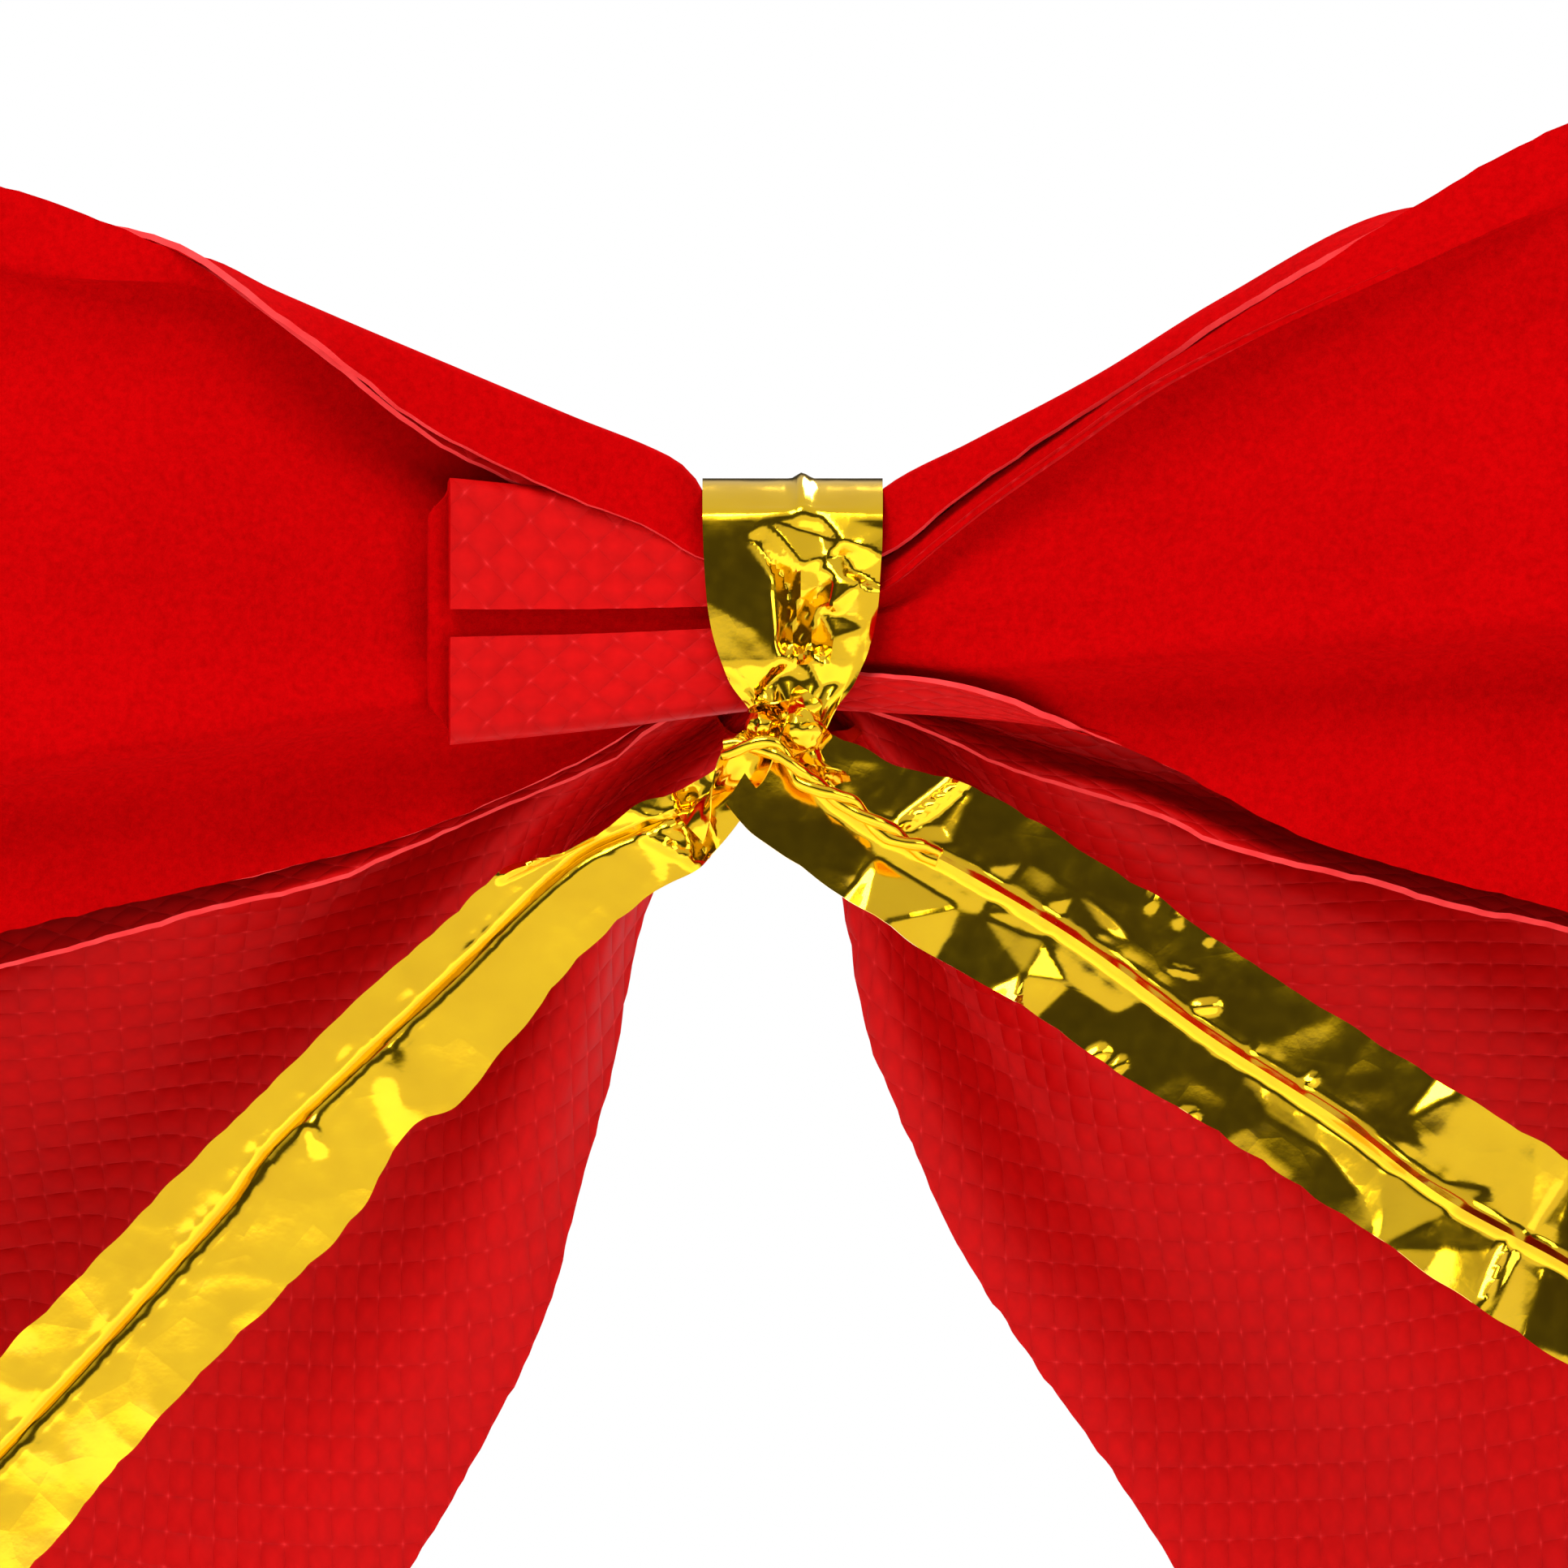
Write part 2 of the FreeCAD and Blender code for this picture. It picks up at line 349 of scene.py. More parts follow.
velvet = velvetMaterial("ribbon_velvet")
backing = backingMaterial("ribbon_embossed_backing")
rim = rimMaterial("ribbon_cut_edge")
ribbonFinish = [velvet, backing, rim]
print("ribbon materials ready")


# Each loop is one length of ribbon: out from the tie on the back, round the end and in again on the
# front. Its fold lines run along it, from the top cut edge to the lower one, at these widths across
# the ribbon. A point on a line is (distance from the middle, depth, height).
foldWidths = (0, 4.5, 9.5, 20, 31, 36, 38, 43, 50)
foldRound = {"width": 0.75, "depth": 0.42, "drop": 0.12, "opens": (46, 28)}
loopEnd = {"reach": 58.0, "round": 8.0, "turn": 26.0}

leftLoop = {
    "side": -1,
    "back": [
        [(0, 1.1, 7.0), (3.8, 0.9, 7.5), (10.3, -0.6, 10.5), (14, -1.7, 12.2), (17.1, -3.0, 13.9),
         (20.8, -4.3, 16.8), (23.8, -5.0, 19.1), (27.6, -5.6, 21.8), (33, -5.6, 24.1), (36.7, -5.4, 25.3),
         (50, -5.2, 29.0), (58, -4.2, 31.2)],
        [(0, 2.0, 9.0), (3.4, 2.0, 9.3), (5.4, 1.9, 11.2), (10.3, 0.6, 13.4), (17.8, -1.5, 16.6),
         (23.8, -3.4, 19.4), (27.6, -4.8, 20.7), (33, -5.4, 20.9), (36.7, -5.6, 21.4), (50, -5.2, 24.6),
         (58, -4.2, 26.8)],
        [(0, 2.0, 8.6), (3.8, 2.0, 9.0), (10.3, 1.2, 11.2), (17.8, -0.6, 12.8), (27.6, -3.2, 15.6),
         (36.7, -4.3, 17.0), (50, -4.7, 20.0), (58, -4.2, 22.2)],
        [(0, 1.6, 7.0), (3.8, 1.5, 7.2), (10.3, 0.8, 7.8), (17.8, -2.2, 8.4), (27.6, -5.4, 9.0),
         (36.7, -6.8, 9.4), (50, -5.9, 10.6), (58, -4.4, 11.4)],
        [(0, 1.6, 4.4), (3.8, 1.5, 4.4), (10.3, 0.8, 4.1), (17.8, -2.2, 3.7), (27.6, -5.4, 2.9),
         (36.7, -6.8, 2.2), (50, -5.9, 0.8), (58, -4.4, 0.2)],
        [(0, 1.3, 3.0), (3.8, 1.2, 2.8), (10.3, 0.3, 1.9), (17.8, -3.1, 1.1), (27.6, -6.1, -0.4),
         (36.7, -7.3, -1.8), (50, -6.1, -4.4), (58, -4.4, -5.4)],
        [(0, 1.9, 2.7), (3.8, 1.8, 2.4), (10.3, 1.5, 1.1), (17.8, -0.5, 0.0), (27.6, -3.1, -1.5),
         (36.7, -4.5, -2.9), (50, -5.2, -5.8), (58, -4.4, -7.0)],
        [(0, 2.4, 2.2), (3.8, 2.2, 1.8), (10.3, 2.1, 0.0), (17.8, 0.4, -2.2), (27.6, -1.9, -4.2),
         (36.7, -3.5, -6.0), (50, -4.7, -9.2), (58, -4.3, -11.3)],
        [(0, 2.6, 2.0), (3.8, 2.4, 1.6), (6.4, 2.3, 0.7), (10.3, 1.8, -1.5), (17.8, 0.3, -4.7),
         (24.6, -1.2, -6.5), (29.5, -2.0, -7.6), (36.7, -3.3, -9.3), (50, -4.3, -13.6), (58, -4.2, -16)],
    ],
    "front": [
        [(0, -0.1, 7.6), (3.8, -0.35, 8.1), (6.5, -0.8, 9.6), (10.3, -1.75, 11.1), (14, -2.8, 12.8),
         (17.1, -4.0, 14.5), (20.8, -5.1, 17.4), (23.8, -5.7, 19.6), (27.6, -5.9, 22.3), (33, -3.0, 23.9),
         (36.7, 0.2, 24.8), (44, 5.5, 27.0), (50, 9.0, 28.8), (58, 11.6, 31.2)],
        [(0, 1.3, 9.9), (3.3, 1.5, 10.2), (4.1, 1.4, 11.6), (5.4, 0.4, 12.8), (10.3, -0.7, 14.8),
         (17.8, -2.7, 17.9), (23.8, -3.8, 20.5), (27.2, -3.8, 22.0), (33, -1.0, 22.0), (36.7, 2.0, 21.8),
         (44, 6.8, 23.2), (50, 10.0, 24.7), (58, 12.0, 26.8)],
        [(0, 3.0, 10.2), (3.8, 3.0, 10.6), (10.3, 2.4, 12.6), (17.8, 1.6, 14.4), (27.2, 2.6, 17.0),
         (36.7, 6.6, 17.6), (50, 11.5, 20.0), (58, 12.4, 22.2)],
        [(0, 4.4, 8.5), (3.8, 4.6, 8.8), (10.3, 5.4, 9.4), (17.8, 6.8, 9.8), (27.2, 9.4, 10.0),
         (36.7, 12.4, 10.2), (50, 13.9, 11.0), (58, 12.6, 11.4)],
        [(0, 4.6, 5.0), (3.8, 4.8, 5.0), (10.3, 6.0, 4.4), (17.8, 7.8, 3.4), (27.2, 10.4, 2.0),
         (36.7, 13.0, 1.2), (50, 14.0, 0.2), (58, 12.6, 0.2)],
        [(0, 4.3, 3.8), (3.8, 4.5, 3.6), (10.3, 5.4, 2.4), (17.8, 6.8, 0.8), (27.2, 9.2, -0.9),
         (36.7, 11.9, -2.0), (50, 13.6, -4.0), (58, 12.5, -5.4)],
        [(0, 4.2, 3.3), (3.8, 4.3, 3.0), (10.3, 4.8, 1.4), (17.8, 5.4, -0.4), (27.2, 6.8, -2.2),
         (36.7, 9.6, -3.4), (50, 13.0, -5.6), (58, 12.5, -7.0)],
        [(0, 4.0, 2.6), (3.8, 4.0, 2.2), (10.3, 3.9, -0.2), (17.8, 3.2, -2.8), (27.2, 3.4, -5.2),
         (36.7, 5.8, -6.9), (50, 11.4, -9.6), (58, 12.2, -11.3)],
        [(0, 3.4, 1.9), (3.8, 3.4, 1.5), (6.4, 3.3, 0.2), (8.4, 3.0, -1.3), (13.3, 2.2, -3.4),
         (17.8, 1.0, -5.4), (21.3, 0.2, -6.9), (26.8, -0.4, -8.2), (31.3, 0.2, -9.5), (36.7, 2.4, -10.9),
         (50, 9.6, -14.2), (58, 11.8, -16)],
    ],
}

rightLoop = {
    "side": 1,
    "back": [
        [(0, 1.0, 7.4), (4.1, 0.9, 8.0), (7.1, 0.5, 10.2), (9.0, 0.0, 11.6), (12.4, -0.9, 13.9),
         (17.3, -2.5, 17.2), (27.5, -4.8, 23.5), (36.2, -5.3, 28.2), (50, -5.0, 31.6), (58, -4.2, 32.3)],
        [(0, 0.4, 5.9), (4.1, 0.0, 6.7), (7.1, -0.4, 9.0), (9.0, -0.8, 10.5), (12.4, -1.9, 12.9),
         (17.3, -3.6, 16.2), (27.5, -6.0, 21.0), (36.2, -6.3, 24.4), (50, -5.6, 26.8), (58, -4.4, 27.6)],
        [(0, 1.0, 5.5), (4.1, 0.8, 5.9), (7.8, 0.2, 7.9), (14.3, -1.2, 10.9), (19.9, -2.6, 12.6),
         (27.5, -4.3, 15.6), (36.2, -5.2, 18.8), (50, -5.2, 22.0), (58, -4.4, 22.8)],
        [(0, 0.9, 5.4), (4.1, 0.5, 5.5), (10, -1.0, 6.6), (19.9, -4.5, 8.4), (27.5, -6.4, 9.8),
         (36.2, -7.2, 11.0), (50, -6.0, 12.0), (58, -4.5, 12)],
        [(0, 0.8, 4.2), (4.1, 0.5, 4.2), (10, -1.1, 4.6), (19.9, -4.8, 5.4), (27.5, -6.7, 6.0),
         (36.2, -7.7, 6.6), (50, -6.2, 4.0), (58, -4.5, 1.8)],
        [(0, 1.0, 3.4), (4.1, 0.7, 3.3), (8.2, -0.4, 2.9), (14.3, -2.9, 3.3), (27.5, -6.3, 4.0),
         (36.2, -7.5, 4.4), (50, -6.2, -0.4), (58, -4.5, -3.4)],
        [(0, 1.7, 3.0), (4.1, 1.5, 2.9), (8.2, 0.9, 2.3), (14.3, -0.9, 2.4), (27.5, -3.9, 3.0),
         (36.2, -5.1, 3.3), (50, -5.6, -2.2), (58, -4.5, -5.0)],
        [(0, 1.2, 1.5), (2.9, 1.0, 1.4), (6.7, 0.7, 1.2), (10.5, 0.7, 0.9), (14.3, -0.1, 0.5),
         (19.9, -1.3, -0.6), (27.5, -2.9, -2.0), (36.2, -4.1, -2.8), (50, -4.9, -8.8), (58, -4.3, -11.3)],
        [(0, 0.6, 3.2), (2.9, 0.2, 2.95), (6.7, -0.8, 2.6), (9.4, -0.9, 2.0), (11.2, -0.5, 1.35),
         (13.2, -0.1, 0.5), (18, -0.6, -1.7), (23.7, -1.6, -4.7), (30.5, -2.6, -6.8), (36.2, -3.5, -8.3),
         (50, -4.3, -13.4), (58, -4.2, -16)],
    ],
    "front": [
        [(0, 0.2, 8.0), (4.3, 0.0, 8.4), (7.8, -0.5, 11.0), (12.4, -1.5, 14.2), (16.2, -2.6, 16.6),
         (19.9, -3.6, 19.2), (27.5, -4.4, 23.5), (36.2, -0.4, 27.5), (50, 8.6, 31.2), (58, 11.6, 32.3)],
        [(0, 1.3, 9.9), (3.6, 1.5, 10.2), (4.4, 1.6, 11.5), (8.6, 0.3, 13.7), (14.3, -0.9, 16.7),
         (19.9, -2.1, 20.1), (27.5, -2.6, 24.0), (36.2, 1.4, 25.0), (50, 9.8, 27.2), (58, 12.0, 27.6)],
        [(0, 3.2, 10.2), (8.6, 2.8, 12.2), (14.3, 2.6, 13.4), (19.9, 2.6, 15.4), (27.5, 3.8, 18.0),
         (36.2, 7.0, 20.0), (50, 11.4, 22.2), (58, 12.4, 22.8)],
        [(0, 4.6, 8.6), (8.6, 5.2, 9.2), (19.9, 7.4, 10), (27.5, 9.8, 10.8), (36.2, 12.6, 11.4),
         (50, 13.9, 12), (58, 12.6, 12)],
        [(0, 4.8, 5.2), (8.6, 5.8, 4.8), (19.9, 8.4, 3.8), (27.5, 10.8, 2.8), (36.2, 13.2, 2.0),
         (50, 14.0, 1.4), (58, 12.6, 1.8)],
        [(0, 4.5, 3.9), (8.6, 5.4, 3.0), (19.9, 7.6, 0.9), (27.5, 9.7, -0.6), (36.2, 12.2, -1.8),
         (50, 13.6, -3.0), (58, 12.5, -3.4)],
        [(0, 4.3, 3.3), (8.6, 4.7, 2.0), (19.9, 5.8, -0.6), (27.5, 7.4, -2.2), (36.2, 9.8, -3.4),
         (50, 13.0, -4.8), (58, 12.5, -5.0)],
        [(0, 4.0, 2.6), (8.6, 3.9, 0.6), (19.9, 3.2, -2.9), (27.5, 3.6, -5.1), (36.2, 6.0, -6.7),
         (50, 11.6, -9.8), (58, 12.2, -11.3)],
        [(0, 3.4, 1.9), (5.2, 3.2, 0.6), (10.5, 2.6, -1.7), (14.6, 1.8, -3.0), (17.3, 1.2, -3.9),
         (20.3, 0.4, -5.3), (27.5, -0.4, -7.1), (31.2, 0.2, -8.2), (36.2, 2.2, -9.2), (50, 9.4, -14),
         (58, 11.8, -16)],
    ],
}
# pleats gathered into the front of each loop, which open out towards its end
frontPleats = {
    "count": 3.4,
    "depth": [(0, 0.5), (6, 1.1), (16, 1.2), (32, 0.6), (48, 0.12), (58, 0)],
    "starts": (8, 15),           # across the ribbon, clear of the top fold
    "fades": 6,                  # above the lower cut edge
}
loopTexture = {
    "ripple": 0.35, "rippleFrom": (6, 30),
    "fuzz": 0.07, "fuzzGrain": 1.3,
    "ragged": 0.12, "edge": 1.2,
}


def loopPlace(loop):
    # where a point of the flat ribbon lies in the made loop
    back = [curveThrough(line) for line in loop["back"]]
    front = [curveThrough(line) for line in loop["front"]]
    reach, roundness, turn = loopEnd["reach"], loopEnd["round"], loopEnd["turn"]
    pleat = curveThrough(frontPleats["depth"])
    sections = {}

    def section(along):
        key = round(along, 4)
        if key not in sections:
            points = []
            for width, backLine, frontLine in zip(foldWidths, back, front):
                if along <= reach:
                    y, z, _ = backLine(along)
                    x = along
                elif along >= reach + turn:
                    x = 2 * reach + turn - along
                    y, z, _ = frontLine(x)
                else:
                    angle = (along - reach) / turn * math.pi
                    nearEnd, farEnd = backLine(reach), frontLine(reach)
                    middle = (nearEnd + farEnd) / 2
                    half = (farEnd - nearEnd) / 2
                    y, z, _ = middle - half * math.cos(angle)
                    x = reach + roundness * math.sin(angle)
                points.append(Vector((width, x, y, z)))
            # the top fold turns over in a small round near the tie, and opens out towards the loop's end
            before, fold, after = points[:3]
            tight = smoothStep(*foldRound["opens"], fold[1])
            turned = []
            for turnSide, other in ((-1, before), (1, after)):
                share = foldRound["width"] / abs(other[0] - fold[0])
                _, x, y, z = fold + (other - fold) * share * (1 - tight)
                y += turnSide * foldRound["depth"] * tight
                z -= foldRound["drop"] * tight
                turned.append((fold[0] + turnSide * foldRound["width"], x, y, z))
            points = [tuple(before), *turned, *(tuple(point) for point in points[2:])]
            sections[key] = curveThrough(points)
        return sections[key]

    def place(along, across):
        x, y, z = section(along)(across)
        fromLower = foldWidths[-1] - across
        if along > reach + turn:
            inside = smoothStep(*frontPleats["starts"], across)
            inside *= smoothStep(0, frontPleats["fades"], fromLower)
            y += pleat(x)[0] * inside * math.cos(2 * math.pi * frontPleats["count"] * across / foldWidths[-1])
        opened = smoothStep(*loopTexture["rippleFrom"], abs(x))
        ripple = loopTexture["ripple"] * opened * uneven(x * 0.09, across * 0.12, along * 0.02)
        grain = loopTexture["fuzzGrain"]
        fuzz = loopTexture["fuzz"] * uneven(along * grain, across * grain, loop["side"])
        edge = smoothStep(loopTexture["edge"], 0, min(across, fromLower))
        z += edge * loopTexture["ragged"] * uneven(along * 0.9, across * 0.2, 5.0 * loop["side"])
        return loop["side"] * x, y + ripple + fuzz, z

    return place


ribbonWidth = 50.0
ribbonThickness = 0.32
# the cell of the grid that each kind of strip is made on
cells = {"loop": 0.62, "end": 0.28, "tail": 0.55, "leg": 0.22, "band": 0.2}
loopLength = 2 * loopEnd["reach"] + loopEnd["turn"]


def makeLoop(side, loop):
    sign = loop["side"]
    piece = flatStrip(f"loop_ribbon_{side}", loopLength, ribbonWidth, cells["loop"], loopPlace(loop),
                      flip=sign > 0)
    finishSheet(piece, ribbonFinish, ribbonThickness, -1.0)
    nodes = [f"loop_ribbon_{side}_loop"] + (["loop_ribbon_waist"] if sign < 0 else [])
    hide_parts(*nodes)
    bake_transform(piece)


makeLoop("left", leftLoop)
makeLoop("right", rightLoop)
print("loops made")


# The end of the same ribbon, caught under the tie and lying on the back of the left loop with both
# margins turned in. Stations run across the ribbon: (width, depth from its face, share of the height).
cutEnd = {
    "length": 16.6,
    "ownWidth": 45.0,
    "thickness": 0.2,
    "across": [(0, -0.42, 0.50), (5.4, -0.46, 0.955), (5.9, -0.22, 0.985), (6.4, 0.0, 0.955),
               (17.4, 0.0, 0.065), (17.9, 0.16, 0.03), (18.4, 0.3, 0.06), (28.0, 0.34, 0.85),
               (28.4, 0.46, 0.88), (28.8, 0.58, 0.85), (38.6, 0.6, 0.05), (39.3, 0.3, 0.0),
               (39.9, -0.42, 0.03), (45, -0.46, 0.395)],
    "low": [(0, 1.5), (3, 1.15), (9, 0.4), (16.6, -0.4)],
    "high": [(0, 10.6), (6, 11.0), (16.6, 11.9)],
    "tuck": [(0, 7.6), (3.8, 8.2), (6.5, 9.6), (10.3, 11.0), (12.5, 11.7), (16.6, 12.2)],
    "depth": [(0, 0.45), (4, 0.4), (8, 0.0), (12, -1.2), (16.6, -3.3)],
    "flaps": (5.9, 39.3),        # the margins turned in are before and after these widths
    "flapShort": 0.9,
    "corners": ((0.16, 0.03), (0.84, 0.96)),
    # where the loop's turned margin lies over it
    "covered": {"thin": 0.6, "back": 0.25, "down": 0.85},
    "fuzz": 0.04,
}


def cutEndPlace():
    across = curveThrough(cutEnd["across"])
    low, high, tuck, depth = (curveThrough(cutEnd[key]) for key in ("low", "high", "tuck", "depth"))
    lowCorner, highCorner = cutEnd["corners"]
    covered = cutEnd["covered"]

    def place(along, width):
        y, share, _ = across(width)
        if cutEnd["flaps"][0] < width < cutEnd["flaps"][1]:
            short = max(smoothStep(*lowCorner, share), smoothStep(*highCorner, share))
        else:
            short = 1.0
        x = along - short * cutEnd["flapShort"] * along / cutEnd["length"]
        bottom, top = low(x)[0], high(x)[0]
        fuzz = cutEnd["fuzz"] * uneven(along * 1.7, width * 1.7, 3)
        height = bottom + share * (top - bottom)
        over = max(0, height - tuck(x)[0])
        y = depth(x)[0] + y * (1 - covered["thin"] * min(1, over)) + covered["back"] * over + fuzz
        return -x, y, height - covered["down"] * over

    return place


def makeCutEnd():
    piece = flatStrip("loop_ribbon_end", cutEnd["length"], cutEnd["ownWidth"], cells["end"], cutEndPlace())
    finishSheet(piece, [velvet, backing, velvet], cutEnd["thickness"], -1.0)
    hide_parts("loop_ribbon_cut_end")
    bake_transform(piece)


makeCutEnd()
print("cut end made")


# Each tail is half of a second ribbon. It runs out from the tie along a slanting axis, in front of the
# loops. Stations run along that axis.
tails = {
    "left": {
        "side": -1,
        "inner": [(0, 1.0), (2, 0.6), (6, 0.4), (10.9, -0.7), (17.6, -4.9), (22.5, -7.6), (28.4, -10.9),
                  (35.4, -13.2), (41, -14.6), (50, -16.6), (83, -17.6)],
        "phase": 0.4,
    },
    "right": {
        "side": 1,
        "inner": [(0, 1.0), (3, -0.6), (7.7, -3.5), (12.8, -6.9), (17.3, -8.8), (23.2, -11.0),
                  (29.3, -12.3), (36.4, -13.4), (41, -14.3), (50, -16.2), (83, -17.6)],
        "phase": 2.1,
    },
}
tailShape = {
    "lean": math.radians(44.0),
    "length": 83.0,
    "notch": 11.0,
    "depth": [(0, 6.6), (6, 8.6), (20, 14.6), (41, 18.8), (62, 17.8), (83, 13.6)],
    "pleatDepth": [(0, 0.8), (8, 1.7), (17, 1.9), (30, 1.1), (48, 0.55), (83, 0.5)],
    "pleats": 3.2,
    "pleatTurn": 0.012,          # how the pleats wander towards the tips
    "cup": 1.6,
    "cupFrom": (10, 60),
    "outer": [(0, 6.6), (6, 12.0), (17, 19.5), (30, 27.4), (48, 32.0), (83, 32.4)],
    "edge": 1.2,
    "ragged": 0.16,
    "ripple": 0.5,
    "blend": (2.0, 12.0),
}


def tailPlace(tail):
    inner, outer = curveThrough(tail["inner"]), curveThrough(tailShape["outer"])
    depth, pleatDepth = curveThrough(tailShape["depth"]), curveThrough(tailShape["pleatDepth"])
    sine, cosine = math.sin(tailShape["lean"]), math.cos(tailShape["lean"])

    def place(flatAlong, width):
        share = width / ribbonWidth                      # 0 at the inner edge, 1 at the outer
        fullLength = tailShape["length"] - tailShape["notch"] * (1 - abs(2 * share - 1))
        along = flatAlong / tailShape["length"] * fullLength
        low, high = inner(along)[0], outer(along)[0]
        edge = smoothStep(tailShape["edge"], 0, min(width, ribbonWidth - width))
        ragged = edge * tailShape["ragged"] * uneven(along * 0.9, 7.0 * tail["side"], share)
        across = low + share * (high - low) + ragged
        turned = tail["phase"] + tailShape["pleatTurn"] * along
        wave = math.cos(2 * math.pi * tailShape["pleats"] * share + turned)
        y = (depth(along)[0] + pleatDepth(along)[0] * wave
             - tailShape["cup"] * (2 * share - 1) ** 2 * smoothStep(*tailShape["cupFrom"], along)
             + tailShape["ripple"] * uneven(along * 0.06, share * 2.5, 3.0 * tail["side"]))
        x = tail["side"] * (sine * along + cosine * across)
        return x, y, -cosine * along + sine * across

    return place


def makeTail(side, tail):
    sign = tail["side"]
    piece = flatStrip(f"tail_ribbon_{side}", tailShape["length"], ribbonWidth, cells["tail"], tailPlace(tail),
                      flip=sign > 0)
    finishSheet(piece, ribbonFinish, ribbonThickness, -1.0)
    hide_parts(f"tail_ribbon_{side}_tail", "tail_ribbon_waist")
    axis = Vector((sign * math.sin(tailShape["lean"]), 0, -math.cos(tailShape["lean"])))
    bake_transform(piece)


for side, tail in tails.items():
    makeTail(side, tail)
print("tails made")


foilLook = {
    "finish": {"Metallic": 1.0, "Coat Weight": 0.3, "Coat Roughness": 0.05},
    "deep": (0.74, 0.42, 0.006, 1),
    "bright": (0.90, 0.57, 0.010, 1),
    "tintScale": 300.0,
    "grainScale": 1400.0,
    "creaseScale": 420.0,
    "creaseBump": 0.10 * mm,
}


def foilMaterial(name, look=foilLook):
    material, surface, maker = startMaterial(name, look["finish"])
    place = maker.node("ShaderNodeTexCoord", out="Object")
    tint = grains(maker, place, look["tintScale"], detail=2.0)
    feed(surface, "Base Color", mixColour(maker, tint, look["deep"], look["bright"]))
    grain = grains(maker, place, look["grainScale"])
    feed(surface, "Roughness", grain * 0.10 + 0.08)
    crease = maker.node("ShaderNodeTexVoronoi", {"feature": "F1"},
                        {"Vector": place, "Scale": look["creaseScale"]})
    feed(surface, "Normal", bumps(maker, 0.35, look["creaseBump"], crease + grain * 0.2))
    return material


wireLook = {
    "deep": (0.42, 0.40, 0.37, 1),
    "bright": (0.66, 0.64, 0.60, 1),
    "finish": {"Metallic": 1.0},
    "drawnScale": 700.0,
}


def wireMaterial(name, look=wireLook):
    material, surface, maker = startMaterial(name, look["finish"])
    place = maker.node("ShaderNodeTexCoord", out="Object")
    drawn = grains(maker, place, look["drawnScale"])
    feed(surface, "Base Color", mixColour(maker, drawn, look["deep"], look["bright"]))
    feed(surface, "Roughness", drawn * 0.2 + 0.22)
    return material


foil = foilMaterial("gold_film")
wireMetal = wireMaterial("tie_wire_steel")
foilFinish = [foil, foil, foil]
filmThickness = 0.07
print("foil materials ready")


